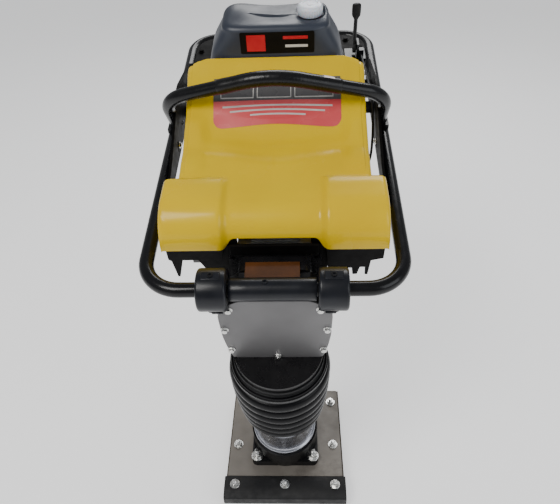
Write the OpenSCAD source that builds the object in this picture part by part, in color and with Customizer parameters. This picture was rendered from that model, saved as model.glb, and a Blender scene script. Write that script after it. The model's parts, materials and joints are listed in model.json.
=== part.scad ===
// Petrol tamping rammer, in millimetres. +Z is up, the toe of the shoe and the crossbar
// face -Y, and the throttle lever is on the +X side. The origin is on the ground, on the
// leg's centre line. Everything above the shoe leans forward with the leg.

/* [Stance] */
// Forward lean of the leg from upright, degrees
lean = 13; // [10:1:15]

/* [Shoe] */
// Width of the shoe
shoe_w = 285; // [270:1:300]
// Distance from the leg's foot to the front of the toe
toe_reach = 168; // [160:1:175]
// Distance from the leg's foot to the back edge
heel_reach = 138; // [134:1:146]
// Thickness of the whole shoe
shoe_h = 50; // [48:1:54]

/* [Leg] */
// Outer radius of the tube that holds the springs
spring_tube_r = 57.93; // [57.92:0.01:57.95]
// Radius of the bright collar at the foot
collar_r = 68; // [66:1:70]
// Radius of the widest bellows rib
bellows_r = 100; // [96:1:102]
// Number of bellows ribs
bellows_ribs = 6; // [5:1:7]

/* [Drive] */
// Height of the crank axis up the leg
crank_w = 566; // [565:1:567]
// Throw of the crank pin
crank_throw = 18; // [16:1:18]
// Teeth on the crank gear
gear_teeth = 60; // [60:12:60]
// Teeth on the pinion
pinion_teeth = 12; // [12:1:12]
// Tooth module
tooth_module = 2; // [2:1:2]

/* [Handle] */
// Outside diameter of the handle tube
tube_d = 25; // [24:0.5:26]
// Outside width of the handle frame
handle_w = 450; // [440:2:456]
// Height of the handle frame up the leg
handle_h = 705; // [704:1:708]
// Distance from the crossbar to the rear grip
handle_l = 775; // [765:1:785]
// Bend radius at the frame's corners
corner_r = 62; // [58:1:66]

/* [Cowl and tank] */
// Width of the cowl over its two front shoulders
shoulder_span = 384; // [376:2:388]
// Width of the cowl behind the shoulders
cowl_w = 338; // [330:2:342]
// Wall of the moulded cowl and covers
skin = 4; // [3:0.5:4]
// Width of the fuel tank at its base
tank_w = 292; // [284:2:296]
// Depth of the fuel tank from front to back
tank_d = 128; // [120:2:130]

/* [Hidden] */
$fn = 64;

// Shoe
sole_t = 8;
toe_bend = 26;
lip_h = 44;
plate_t = 6;
band_back = -116;
nut_x = 117;
nut_rows = [-32, 95];
band_nut_y = -137;
base_z = 66;
base_w = 158;
base_y = -14;
stud_x = 67;
stud_y = 60;

// Leg, as heights up the leaning axis
floor_w = 100;
collar_top = 262;
boss_top = 138;
piston_w = 235;
piston_t = 20;
cap_w = 366;
cap_t = 14;
guide_low = 276;
guide_r = 58;
case_low = 486;
slide_gap = 0.35;
rod_r = 14;
wrist_w = 466;
wrist_r = 7;
eye_r = 14;
fork_gap = 8.4;
ear_t = 8;
slot_w = 401;
fork_w = 393;
rod_half = 8;
pin_r = 9;
shaft_gap = 0.05;

// Drive, as distances along the crank axis
gear_v = 10;
gear_t = 20;
pinion_w = crank_w + tooth_module * (gear_teeth + pinion_teeth) / 2;
cover_v = -20;
cover_t = 7;
case_front = cover_v + cover_t;
case_mid = 40;
case_back = 78;
case_wall = 8;
drum_r = 40;
bearing_r = 22;
shaft_r = 12;
case_top = 684;
cover_outline = [
    [-60, 681], [60, 681], [84, 664], [97, 640], [96, 575], [92, 540], [83, 498],
    [-83, 498], [-92, 540], [-96, 575], [-97, 640], [-84, 664]
];
screw_spots = [
    [76, 658], [89, 597], [84, 530], [0, 506], [-84, 530], [-89, 597], [-76, 658]
];

// Handle
tube_r = tube_d / 2;
rail_x = handle_w / 2 - tube_r;
bar_v = -13;
grip_v = bar_v + handle_l;
drum_x = 95.5;
isolator_r = 35;
isolator_l = 48;
bush_r = 25;

// Lifting hoop
hoop_r = 12.5;
hoop_lean = 28;
hoop_v = 396;
hoop_leg = 68;
hoop_bend = 62;
hoop_rise = 20;
hoop_crown = 150;
weld_step = 0.4;
weld_lap = 1;

// Engine
engine_v = 84;
engine_low = pinion_w - 78;
block_half = 66;
block_back = 188;
fan_v = 192;
recoil_v = 214;
recoil_back = 266;
recoil_r = 84;
cylinder_v = 146;
head_low = pinion_w + 50;
fuel_w = pinion_w + 70;

// Cowl
nose_v = 130;
nose_w = 710;
nose_r = 62;
recess_r = 52;
recess_half = 84;
skirt_w = 704;

// Tank
tank_v = 428;
tank_low = 735;
cap_x = 67;
cap_v = 480;
tap_x = 60;
tap_v = 500;
tap_w = 712;

// Throttle lever's pivot
lever_v = 656;
lever_w = 733;

// Cable and hose routes, as [x, along, up] in the leaning frame
cable_route = [
    [188, 639, 724], [189, 600, 730], [190, 545, 742], [190, 488, 751],
    [190, 440, 756], [190, 390, 744], [188, 345, 718],
    [182, 310, 694], [166, 280, 684], [142, 248, 690], [118, 218, 708], [90, 182, 727]
];
hose_route = [
    [60, 500, 712], [60, 496, 694], [66, 476, 690], [84, 430, 690], [104, 360, 688],
    [112, 300, 680], [112, 255, 668], [104, 228, 660], [96.3, 209, 658], [96, 200.6, 658]
];

// ---- helpers -------------------------------------------------------------------------

module leaned() {
    rotate([lean, 0, 0]) children();
}

// A slab with its outline in X and up-the-leg, from v0 to v1 along the crank axis
module slab_v(v0, v1) {
    translate([0, v1, 0]) rotate([90, 0, 0]) linear_extrude(v1 - v0) children();
}

// A slab with its outline along the crank axis and up the leg, centred across X
module slab_x(width) {
    translate([-width / 2, 0, 0]) rotate([90, 0, 90]) linear_extrude(width) children();
}

module rod_v(r, v0, v1, x = 0, w = 0) {
    translate([x, v1, w]) rotate([90, 0, 0]) cylinder(r = r, h = v1 - v0);
}

module rod_x(r, x0, x1, v = 0, w = 0) {
    translate([x0, v, w]) rotate([0, 90, 0]) cylinder(r = r, h = x1 - x0);
}

module tube_w(r_out, r_in, w0, w1) {
    translate([0, 0, w0]) difference() {
        cylinder(r = r_out, h = w1 - w0);
        translate([0, 0, -1]) cylinder(r = r_in, h = w1 - w0 + 2);
    }
}

module box_v(x0, x1, v0, v1, w0, w1) {
    translate([x0, v0, w0]) cube([x1 - x0, v1 - v0, w1 - w0]);
}

module round_rect(width, depth, r) {
    square([width - 2 * r, depth], center = true);
    square([width, depth - 2 * r], center = true);
    for (x = [-1, 1], y = [-1, 1])
        translate([x * (width / 2 - r), y * (depth / 2 - r)]) circle(r = r);
}

module mirrored() {
    children();
    mirror([1, 0, 0]) children();
}

module hex_nut(r, h) {
    cylinder(r = r, h = h, $fn = 6);
}

// A quarter or other part of a tube bend in the XY plane, about the origin
module bend(r_bend, r_tube, from, sweep) {
    rotate([0, 0, from]) rotate_extrude(angle = sweep) translate([r_bend, 0]) circle(r = r_tube);
}

function arc(cx, cy, r, a0, a1, n) =
    [for (i = [0:n]) let (a = a0 + (a1 - a0) * i / n) [cx + r * cos(a), cy + r * sin(a)]];

// One involute flank point at a given radius, as [radius, angle from the tooth's middle]
function roll(base, r) = let (k = sqrt(max(0, pow(r / base, 2) - 1))) k * 180 / PI - atan(k);

function tooth(teeth, m, play) =
    let (
        pitch = m * teeth / 2,
        base = pitch * cos(20),
        half = 90 / teeth - play / pitch * 90 / PI,
        at_pitch = roll(base, pitch),
        radii = [for (i = [0:3]) max(base, pitch - m) + (pitch + m - max(base, pitch - m)) * i / 3],
        root = pitch - 1.25 * m,
        wide = half + at_pitch
    )
    concat(
        [[root, -min(wide, 170 / teeth)]],
        [for (r = radii) [r, roll(base, r) - wide]],
        [for (i = [3:-1:0]) [radii[i], wide - roll(base, radii[i])]],
        [[root, min(wide, 170 / teeth)]]
    );

module gear_outline(teeth, m, turn = 0) {
    polygon([
        for (k = [0:teeth - 1], p = tooth(teeth, m, 0.3))
            let (a = turn + k * 360 / teeth + p[1]) [p[0] * cos(a), p[0] * sin(a)]
    ]);
}

// A round cord swept along a list of points, with flat ends
function unit(v) = v / norm(v);
function heading(p, i) = unit(p[min(i + 1, len(p) - 1)] - p[max(i - 1, 0)]);

function smooth_path(p, n) = concat(
    [for (i = [0:len(p) - 2], j = [0:n - 1])
        let (
            a = p[max(i - 1, 0)], b = p[i], c = p[i + 1], d = p[min(i + 2, len(p) - 1)], t = j / n
        )
        0.5 * (2 * b + (c - a) * t + (2 * a - 5 * b + 4 * c - d) * t * t
            + (3 * b - a - 3 * c + d) * t * t * t)],
    [p[len(p) - 1]]
);

module cord(p, r, sides = 8) {
    n = len(p);
    rings = [for (i = [0:n - 1])
        let (h = heading(p, i), s = unit(cross(h, [0.3, 0.1, 1])), u = cross(s, h))
        for (k = [0:sides - 1])
            let (a = 360 * k / sides) p[i] + r * (cos(a) * s + sin(a) * u)];
    walls = [for (i = [0:n - 2], k = [0:sides - 1])
        let (a = i * sides + k, b = i * sides + (k + 1) % sides)
        [a, a + sides, b + sides, b]];
    polyhedron(
        rings,
        concat(walls, [[for (k = [0:sides - 1]) k]],
            [[for (k = [sides - 1:-1:0]) (n - 1) * sides + k]]),
        convexity = 8
    );
}

module coil(r_coil, r_wire, w0, w1, turns) {
    steps = turns * 10;
    cord([for (i = [0:steps])
        let (a = 36 * i) [r_coil * cos(a), r_coil * sin(a),
            w0 + r_wire + (w1 - w0 - 2 * r_wire) * i / steps]], r_wire, 6);
}

// ---- shoe ----------------------------------------------------------------------------

module sole_plate() {
    inner = toe_bend - sole_t;
    color("dimgray") difference() {
        slab_x(shoe_w) polygon(concat(
            [[heel_reach, 0]],
            [for (p = arc(-toe_reach + toe_bend, toe_bend, toe_bend, 270, 180, 8)) p],
            [[-toe_reach, lip_h - 4], [-toe_reach + 5, lip_h], [-142, shoe_h], [band_back, shoe_h],
             [band_back, lip_h], [-144, lip_h], [-toe_reach + sole_t, lip_h - 6]],
            [for (p = arc(-toe_reach + toe_bend, toe_bend, inner, 180, 270, 8)) p],
            [[heel_reach, sole_t]]
        ));
        for (x = [-nut_x, 0, nut_x])
            translate([x, band_nut_y, sole_t + 1]) cylinder(r = 5.2, h = shoe_h);
    }
}

module foot_board() {
    inner = toe_bend - sole_t;
    color("saddlebrown") difference() {
        slab_x(shoe_w - 6) polygon(concat(
            [[heel_reach - 2, sole_t]],
            [for (p = arc(-toe_reach + toe_bend, toe_bend, inner, 270, 180, 8)) p],
            [[-toe_reach + sole_t, lip_h - 6], [-144, lip_h], [heel_reach - 2, lip_h]]
        ));
        shoe_bolt_holes();
    }
}

module shoe_bolt_holes() {
    for (x = [-nut_x, 0, nut_x])
        translate([x, band_nut_y, sole_t + 1]) cylinder(r = 5.2, h = shoe_h);
    for (x = [-nut_x, nut_x], y = nut_rows)
        translate([x, y, sole_t - 1]) cylinder(r = 5.2, h = shoe_h);
    for (x = [-stud_x, stud_x], y = [base_y - stud_y, base_y + stud_y])
        translate([x, y, sole_t - 1]) cylinder(r = 6.2, h = shoe_h);
}

module top_plate() {
    color("tan") difference() {
        translate([0, (band_back + heel_reach - 5) / 2 + 0.2, lip_h])
            linear_extrude(plate_t) round_rect(shoe_w - 13, heel_reach - 5 - band_back, 4);
        shoe_bolt_holes();
    }
}

module shoe_bolts() {
    color("silver") {
        for (x = [-nut_x, 0, nut_x]) shoe_bolt(x, band_nut_y);
        for (x = [-nut_x, nut_x], y = nut_rows) shoe_bolt(x, y);
    }
}

module shoe_bolt(x, y) {
    translate([x, y, sole_t + 1]) cylinder(r = 5.2, h = shoe_h - sole_t + 12);
    translate([x, y, shoe_h]) cylinder(r = 11, h = 2);
    translate([x, y, shoe_h + 2]) hex_nut(9.5, 8);
}

module foot_base() {
    color([0.13, 0.13, 0.14]) difference() {
        union() {
            translate([0, base_y, shoe_h]) linear_extrude(base_z - shoe_h)
                round_rect(base_w, 150, 14);
            leaned() translate([0, 0, 50]) cylinder(r = 77, h = boss_top - 50);
            for (a = [45:90:315]) translate([0, base_y, base_z - 1]) rotate([0, 0, a])
                translate([40, -5, 0]) cube([52, 10, 16]);
        }
        translate([-200, -200, -100]) cube([400, 400, 100 + shoe_h]);
        leaned() translate([0, 0, floor_w]) cylinder(r = collar_r, h = 60);
        for (x = [-stud_x, stud_x], y = [base_y - stud_y, base_y + stud_y])
            translate([x, y, shoe_h - 1]) cylinder(r = 6.2, h = 30);
        for (x = [-stud_x, stud_x], y = [base_y - stud_y, base_y + stud_y])
            translate([x, y, base_z]) cylinder(r = 13, h = 36);
    }
}

module base_studs() {
    color("silver") for (x = [-stud_x, stud_x], y = [base_y - stud_y, base_y + stud_y]) {
        translate([x, y, sole_t]) cylinder(r = 6.2, h = base_z - sole_t + 30);
        translate([x, y, base_z]) cylinder(r = 12, h = 2.5);
        translate([x, y, base_z + 2.5]) hex_nut(11, 10);
    }
}

// ---- leg, below the slide ------------------------------------------------------------

module spring_cylinder() {
    color("lightgray") leaned() tube_w(spring_tube_r, spring_tube_r - 6, floor_w, cap_w);
}

module cylinder_collar() {
    color("silver") leaned() difference() {
        union() {
            tube_w(collar_r, spring_tube_r, floor_w, collar_top);
            tube_w(collar_r + 5, collar_r - 1, boss_top, boss_top + 11);
            tube_w(collar_r + 5, collar_r - 1, 233, 241);
        }
    }
}

module cylinder_cap() {
    color("lightgray") leaned() tube_w(spring_tube_r, rod_r + 6, cap_w, cap_w + cap_t);
}

module rod_bush() {
    color("goldenrod") leaned() tube_w(rod_r + 6, rod_r + shaft_gap, cap_w - 2, cap_w + cap_t);
}

module lower_springs() {
    color("slategray") leaned() {
        coil(43, 6, floor_w, piston_w, 6);
        coil(26, 4, floor_w, piston_w, 7);
    }
}

module upper_springs() {
    color("slategray") leaned() {
        coil(43, 6, piston_w + piston_t, cap_w - 2, 5);
        coil(28, 4, piston_w + piston_t, cap_w - 2, 6);
    }
}

module lower_clamp() {
    color("silver") leaned() {
        tube_w(collar_r + 7, collar_r + 5, 250, 260);
        translate([collar_r + 5, -6, 250]) cube([9, 12, 10]);
    }
}

module piston_rod() {
    color("gainsboro") leaned() {
        translate([0, 0, piston_w]) cylinder(r = spring_tube_r - 6.4, h = piston_t);
        translate([0, 0, piston_w + 1]) cylinder(r = rod_r, h = fork_w - piston_w);
        difference() {
            union() {
                box_v(-20, 20, -fork_gap - ear_t, fork_gap + ear_t, fork_w, slot_w);
                box_v(-eye_r, eye_r, -fork_gap - ear_t, fork_gap + ear_t, slot_w - 1, wrist_w);
                rod_v(eye_r, -fork_gap - ear_t, fork_gap + ear_t, 0, wrist_w);
            }
            box_v(-40, 40, -fork_gap, fork_gap, slot_w, wrist_w + 40);
        }
    }
}

// ---- leg, above the slide ------------------------------------------------------------

function rib_r(t) = bellows_r - 14 * pow(1 - t, 2);

module bellows() {
    low = 276;
    high = 454;
    pitch = (high - low) / bellows_ribs;
    ribs = [for (i = [0:bellows_ribs - 1])
        let (t = (i + 0.5) / bellows_ribs, w = low + (i + 0.5) * pitch)
        each [[rib_r(t) - 15, w - pitch / 2], [rib_r(t) - 4, w - pitch / 3], [rib_r(t), w - pitch / 8],
              [rib_r(t), w + pitch / 8], [rib_r(t) - 4, w + pitch / 3]]];
    outer = concat([[collar_r + 5, 246], [collar_r + 5, 268]], ribs,
        [[bellows_r - 16, high], [bellows_r - 7, high + 2], [bellows_r - 7, 472]]);
    inner = [for (p = outer) [max(p[0] - 4, collar_r + 0.5), p[1]]];
    color([0.06, 0.06, 0.07]) leaned() rotate_extrude() polygon(concat(
        outer, [for (i = [len(inner) - 1:-1:0]) inner[i]]));
}

module upper_clamp() {
    color("silver") leaned() {
        tube_w(bellows_r - 4, bellows_r - 7, 458, 468);
        translate([0, -bellows_r - 2, 458]) translate([-9, 0, 0]) cube([18, 8, 10]);
    }
}

module bellows_flange() {
    color([0.12, 0.12, 0.13]) leaned() difference() {
        union() {
            tube_w(bellows_r - 13, 66, 472, case_low);
            tube_w(bellows_r - 11.5, 66, 456, 474);
        }
        for (a = [30:60:330]) rotate([0, 0, a]) translate([78, 0, 460]) cylinder(r = 5, h = 40);
    }
}

module guide_cylinder() {
    color("lightgray") leaned() tube_w(66, guide_r, guide_low, case_low);
}

module crankcase() {
    color([0.55, 0.55, 0.56]) leaned() difference() {
        union() {
            slab_v(case_front, case_mid) polygon(cover_outline);
            slab_v(case_mid - 1, case_back) translate([0, pinion_w]) round_rect(124, 100, 14);
            translate([0, 0, case_low]) cylinder(r = 84, h = 12);
            rod_v(30, case_mid - 1, 68, 0, crank_w);
            for (x = [-1, 1]) box_v(x * 62 - 5, x * 62 + 5, case_mid - 1, case_back, 498, 590);
            slab_v(case_back - 8, case_back) translate([0, pinion_w]) round_rect(160, 104, 16);
        }
        // Crank chamber
        rod_v(64, case_front - 1, case_mid - case_wall, 0, crank_w);
        box_v(-44, 44, case_front + 4, case_mid - case_wall, 507, 640);
        box_v(-44, 44, case_front - 1, case_mid - case_wall, 516, 640);
        rod_v(24, case_front - 1, case_mid - case_wall, 0, pinion_w);
        box_v(-52, 52, case_front - 1, case_mid - case_wall, 640, 670);
        // Way down to the guide cylinder
        difference() {
            translate([0, 0, case_low - 1]) cylinder(r = 42, h = 40);
            box_v(-50, 50, -60, cover_v + 1, case_low - 2, 530);
            box_v(-14, 14, -60, case_front + 4, case_low + 13, 516);
        }
        // Clutch chamber
        rod_v(drum_r + 5, case_mid + 2, case_back + 1, 0, pinion_w);
        rod_v(bearing_r, case_mid - case_wall - 1, 62, 0, crank_w);
        rod_v(14, case_mid - case_wall - 1, case_mid + 3, 0, pinion_w);
        for (p = screw_spots) rod_v(3, case_front - 1, case_front + 14, p[0], p[1]);
        for (x = [-71, 71], w = [-44, 44])
            rod_v(4.5, case_back - 10, case_back + 1, x, pinion_w + w);
    }
}

module crankcase_cover() {
    color([0.72, 0.72, 0.7]) leaned() difference() {
        slab_v(cover_v, case_front) polygon(cover_outline);
        for (p = screw_spots) rod_v(3, cover_v - 1, case_front + 1, p[0], p[1]);
    }
}

module cover_screws() {
    color("silver") leaned() for (p = screw_spots) {
        rod_v(3, cover_v, case_front + (p[0] == 0 ? 3.5 : 13), p[0], p[1]);
        translate([p[0], cover_v, p[1]]) rotate([90, 0, 0]) hex_nut(6.5, 4.5);
        rod_v(8, cover_v - 1.2, cover_v, p[0], p[1]);
    }
}

module crank_bearings() {
    color("silver") leaned() {
        for (v = [34, 49]) difference() {
            rod_v(bearing_r, v, v + 11, 0, crank_w);
            rod_v(shaft_r + shaft_gap, v - 1, v + 12, 0, crank_w);
        }
        difference() {
            rod_v(14, 33, 41, 0, pinion_w);
            rod_v(8 + shaft_gap, 32, 42, 0, pinion_w);
        }
    }
}

module crank_gear() {
    color("gray") leaned() translate([0, 0, crank_w]) {
        difference() {
            slab_v(gear_v, gear_v + gear_t) gear_outline(gear_teeth, tooth_module);
            for (a = [210:30:330]) rotate([0, -a, 0])
                rod_v(7, gear_v - 1, gear_v + gear_t + 1, 40, 0);
        }
        rod_v(shaft_r, gear_v, 61);
        rod_v(pin_r, -rod_half, gear_v + 1, 0, crank_throw);
    }
}

module connecting_rod() {
    top = crank_w + crank_throw;
    color("lightsteelblue") leaned() difference() {
        union() {
            rod_v(21, -rod_half, rod_half, 0, top);
            rod_v(eye_r, -rod_half, rod_half, 0, wrist_w);
            box_v(-9, 9, -rod_half + 2, rod_half - 2, wrist_w, top);
        }
        rod_v(pin_r + shaft_gap, -rod_half - 1, rod_half + 1, 0, top);
        rod_v(wrist_r, -rod_half - 1, rod_half + 1, 0, wrist_w);
    }
}

module wrist_pin() {
    color("silver") leaned() rod_v(wrist_r, -rod_half, rod_half, 0, wrist_w);
}

module pinion_shaft() {
    color("gray") leaned() translate([0, 0, pinion_w]) {
        slab_v(gear_v, gear_v + gear_t)
            gear_outline(pinion_teeth, tooth_module, 180 / pinion_teeth);
        rod_v(8, gear_v - 6, 45);
    }
}

module clutch_drum() {
    color("darkgray") leaned() translate([0, 0, pinion_w]) {
        difference() {
            rod_v(drum_r, 44.5, 72);
            rod_v(drum_r - 4, 48.5, 73);
            rod_v(8, 40, 45);
        }
    }
}

module clutch_shoes() {
    color("darkslategray") leaned() translate([0, 0, pinion_w]) difference() {
        rod_v(drum_r - 5, 52, 70);
        rod_v(9, 51, 71);
        for (a = [0:120:240]) rotate([0, a, 0]) box_v(12, 60, 50, 72, -1.5, 1.5);
        rod_v(14, 66, 71);
    }
}

// ---- handle mounts -------------------------------------------------------------------

module isolator_drums() {
    color([0.14, 0.15, 0.17]) leaned() for (s = [-1, 1]) {
        x0 = s * drum_x - isolator_l / 2;
        difference() {
            union() {
                rod_x(isolator_r, x0, x0 + isolator_l, bar_v, handle_h);
                box_v(s * 92 - 9, s * 92 + 9, bar_v - 5, case_mid, 655, handle_h - 26);
                box_v(x0 + 4, x0 + isolator_l - 4, bar_v - 9, bar_v + 9, handle_h, handle_h + 40);
            }
            rod_x(bush_r, x0 - 1, x0 + isolator_l + 1, bar_v, handle_h);
            box_v(x0 - 1, x0 + isolator_l + 1, bar_v - 1.5, bar_v + 1.5, handle_h, handle_h + 60);
            slab_v(case_front - 20, case_mid + 1) polygon(cover_outline);
        }
        rod_v(4, bar_v - 16, bar_v + 16, s * drum_x, handle_h + 36);
    }
}

module isolator_rubbers() {
    color([0.05, 0.05, 0.05]) leaned() for (s = [-1, 1]) difference() {
        rod_x(bush_r - 0.08, s * drum_x - 23, s * drum_x + 23, bar_v, handle_h);
        rod_x(tube_r, s * drum_x - 30, s * drum_x + 30, bar_v, handle_h);
    }
}

// ---- engine --------------------------------------------------------------------------

module engine_block() {
    color([0.6, 0.6, 0.6]) leaned() difference() {
        union() {
            box_v(-block_half, block_half, engine_v, block_back, engine_low, pinion_w + 46);
            box_v(-block_half - 14, block_half + 14, engine_v + 14, block_back - 14,
                engine_low, engine_low + 9);
            rod_v(56, case_back, engine_v + 1, 0, pinion_w);
            box_v(-42, 42, 106, 186, pinion_w + 45, head_low);
        }
        rod_v(14, case_back - 1, block_back + 1, 0, pinion_w);
        box_v(-block_half + 6, block_half - 6, engine_v + 6, block_back - 6,
            engine_low + 6, pinion_w + 40);
    }
}

module cylinder_head() {
    color([0.62, 0.62, 0.62]) leaned() {
        translate([0, cylinder_v, head_low]) cylinder(r = 32, h = 40);
        for (i = [0:5]) translate([-46, cylinder_v - 40, head_low + 2 + i * 6.4]) cube([92, 80, 2.6]);
    }
}

module rocker_cover() {
    color([0.2, 0.2, 0.2]) leaned() translate([0, cylinder_v, head_low + 40])
        linear_extrude(16) round_rect(74, 66, 12);
}

module spark_plug() {
    color("black") leaned() translate([46.3, cylinder_v - 28, head_low + 22]) {
        rotate([0, 90, 0]) cylinder(r = 6, h = 15);
        translate([13, 0, -5]) cylinder(r = 7, h = 26);
    }
}

module muffler() {
    color([0.25, 0.24, 0.23]) leaned() difference() {
        union() {
            translate([-116, 148, 644]) linear_extrude(84) round_rect(56, 96, 14);
            rod_x(11, -92, -48, cylinder_v, 712);
            box_v(-58, -46.5, cylinder_v - 20, cylinder_v + 20, 698, 726);
            rod_v(9, 190, 214, -116, 668);
        }
        rod_v(6.5, 200, 216, -116, 668);
    }
}

module muffler_guard() {
    color([0.1, 0.1, 0.1]) leaned() difference() {
        union() {
            box_v(-151, -148, 98, 200, 636, 738);
            box_v(-151, -92, 98, 99.6, 636, 700);
            box_v(-151, -126, 198.4, 200, 636, 738);
        }
        for (w = [652:14:722]) box_v(-152, -147, 108, 190, w, w + 7);
    }
}

module carburettor() {
    color([0.55, 0.55, 0.55]) leaned() {
        box_v(block_half + 0.3, 76, 128, 168, fuel_w - 18, fuel_w + 15);
        rod_x(15, 75, 100.1, cylinder_v, fuel_w);
        translate([88, cylinder_v, 672]) cylinder(r = 12, h = 24);
        box_v(78, 98, 156, 184, fuel_w - 18, fuel_w - 2);
        rod_v(4, 175, 200, 96, 658);
        box_v(84, 100, 148, 176, 652, 674);
    }
}

module air_cleaner() {
    color([0.08, 0.08, 0.09]) leaned() {
        translate([126.5, 132, 664]) linear_extrude(76) round_rect(50, 96, 16);
        rod_x(17, 100.2, 104, cylinder_v, fuel_w);
    }
}

module engine_crankshaft() {
    color("silver") leaned() translate([0, 0, pinion_w]) {
        rod_v(9, 50, fan_v + 30);
        rod_v(13.5, 96, 112);
        rod_v(13.5, 160, 182);
        rod_v(24, 122, 148);
    }
}

module flywheel() {
    color("dimgray") leaned() translate([0, 0, pinion_w]) {
        difference() {
            rod_v(70, fan_v, fan_v + 12);
            rod_v(9, fan_v - 1, fan_v + 14);
        }
        for (a = [0:30:330]) rotate([0, a, 0]) box_v(34, 68, fan_v + 11, fan_v + 19, -1.5, 1.5);
    }
}

module recoil_housing() {
    color([0.1, 0.1, 0.1]) leaned() difference() {
        union() {
            rod_v(recoil_r, block_back, recoil_v + 16, 0, pinion_w);
            rod_v(60, recoil_v + 15, recoil_back, 0, pinion_w);
            box_v(40, 84, recoil_v - 10, recoil_back - 12, 642, 682);
        }
        rod_v(recoil_r - skin, block_back - 1, recoil_v, 0, pinion_w);
        rod_v(52, recoil_v - 1, recoil_v + 34, 0, pinion_w);
        for (a = [0:30:330]) translate([0, 0, pinion_w]) rotate([0, a, 0])
            box_v(20, 46, recoil_v + 30, recoil_back + 1, -4, 4);
        rod_v(12.4, recoil_back - 24, recoil_back, 62, 662);
        rod_v(3, recoil_v - 11, recoil_back, 62, 662);
        box_v(-66.5, -49.5, recoil_v + 5, recoil_v + 17, 673.5, 687.5);
    }
}

module recoil_pulley() {
    color("gray") leaned() translate([0, 0, pinion_w]) difference() {
        rod_v(46, recoil_v + 10, recoil_v + 24);
        difference() {
            rod_v(50, recoil_v + 14, recoil_v + 20);
            rod_v(35, recoil_v + 13, recoil_v + 21);
        }
        rod_v(9.5, recoil_v + 9, recoil_v + 25);
    }
}

module recoil_grip() {
    color([0.05, 0.05, 0.05]) leaned() {
        rod_v(12, recoil_back - 23.5, recoil_back - 12, 62, 662);
        rod_v(7, recoil_back - 13, recoil_back + 6, 62, 662);
        rod_x(11, 30, 94, recoil_back + 12.5, 662);
    }
}

module choke_lever() {
    color("silver") leaned() {
        rod_v(3, 184.4, 190, 90, fuel_w - 10);
        box_v(88, 120, 188, 190, fuel_w - 13, fuel_w - 7);
    }
}

module throttle_arm() {
    color("silver") leaned() translate([88, cylinder_v, fuel_w + 15.4]) {
        cylinder(r = 4, h = 8);
        translate([-4, 0, 4]) cube([8, 30, 2]);
    }
}

module stop_switch() {
    color("firebrick") leaned() box_v(-66, -50, recoil_v + 9, recoil_v + 24, 674, 687);
}

// ---- handle, hoop and covers ---------------------------------------------------------

module handle_frame() {
    x_bend = rail_x - corner_r;
    v_front = bar_v + corner_r;
    v_rear = grip_v - corner_r;
    color([0.05, 0.05, 0.06]) leaned() translate([0, 0, handle_h]) {
        rod_x(tube_r, -x_bend, x_bend, bar_v, 0);
        rod_x(tube_r, -x_bend, x_bend, grip_v, 0);
        mirrored() {
            translate([x_bend, v_front, 0]) bend(corner_r, tube_r, 270, 90);
            translate([x_bend, v_rear, 0]) bend(corner_r, tube_r, 0, 90);
            rod_v(tube_r, v_front, v_rear, rail_x, 0);
            box_v(tank_w / 2 - 14, tank_w / 2 + 3, 440, 548, 9, tank_low - handle_h);
        }
        box_v(-rail_x + tube_r - 3, rail_x - tube_r + 3, 436, 470, 4, 10);
        box_v(-rail_x + tube_r - 3, rail_x - tube_r + 3, 528, 552, 4, 10);
        // Gussets inside the rear corners; the throttle lever stands on the right one
        mirrored() translate([0, 0, 3]) linear_extrude(5) polygon(concat(
            [[rail_x - tube_r + 2, 600], [158, 606], [142, 628], [142, grip_v - tube_r + 2]],
            arc(x_bend, v_rear, corner_r - tube_r + 2, 90, 0, 8)
        ));
    }
}

module centre_sleeve() {
    color([0.12, 0.13, 0.15]) leaned() {
        difference() {
            rod_x(19, -drum_x + 26, drum_x - 26, bar_v, handle_h);
            rod_x(tube_r, -drum_x, drum_x, bar_v, handle_h);
        }
        translate([-12, bar_v, handle_h + 17]) cylinder(r = 5, h = 7);
    }
}

module side_plates() {
    color([0.08, 0.08, 0.09]) leaned() mirrored() difference() {
        translate([rail_x - tube_r - 6, 0, 0]) rotate([90, 0, 90]) linear_extrude(5) polygon([
            [172, 700], [560, 700], [590, 718], [590, 742], [560, 760], [430, 792], [400, 792],
            [300, 752], [240, 732], [172, 724]
        ]);
        for (v = [220, 320]) rod_x(4, 150, 220, v, 716);
    }
}

// The hoop's middle line is two straight legs, two bends, two slopes and one crowned arc
hoop_turn = 90 - hoop_rise;
hoop_x = rail_x - 6;
slope_x = hoop_x - hoop_bend + hoop_bend * cos(hoop_turn);
slope_s = hoop_leg + hoop_bend * sin(hoop_turn);
crown_x = hoop_crown * sin(hoop_rise);
slope_l = (slope_x - crown_x) / cos(hoop_rise);
crown_s = slope_s + slope_l * sin(hoop_rise);

module on_hoop_plane() {
    leaned() translate([0, hoop_v, handle_h + tube_r + 1]) rotate([90 + hoop_lean, 0, 0])
        children();
}

module lifting_hoop() {
    straight_r = hoop_r - weld_step;
    color([0.06, 0.06, 0.07]) {
        on_hoop_plane() {
            mirrored() {
                translate([hoop_x, 0, 0]) rotate([-90, 0, 0])
                    cylinder(r = straight_r, h = hoop_leg + weld_lap);
                translate([hoop_x - hoop_bend, hoop_leg, 0]) bend(hoop_bend, hoop_r, 0, hoop_turn);
                translate([slope_x, slope_s, 0]) rotate([0, 0, -hoop_rise]) rotate([0, -90, 0])
                    translate([0, 0, -weld_lap])
                    cylinder(r = straight_r, h = slope_l + 2 * weld_lap);
            }
            translate([0, crown_s - hoop_crown * cos(hoop_rise), 0])
                bend(hoop_crown, hoop_r, hoop_turn, 2 * hoop_rise);
        }
        leaned() mirrored() box_v(rail_x - 15, rail_x + 11, hoop_v - 22, hoop_v + 22,
            handle_h + tube_r - 3, handle_h + tube_r + 7);
    }
}

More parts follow.
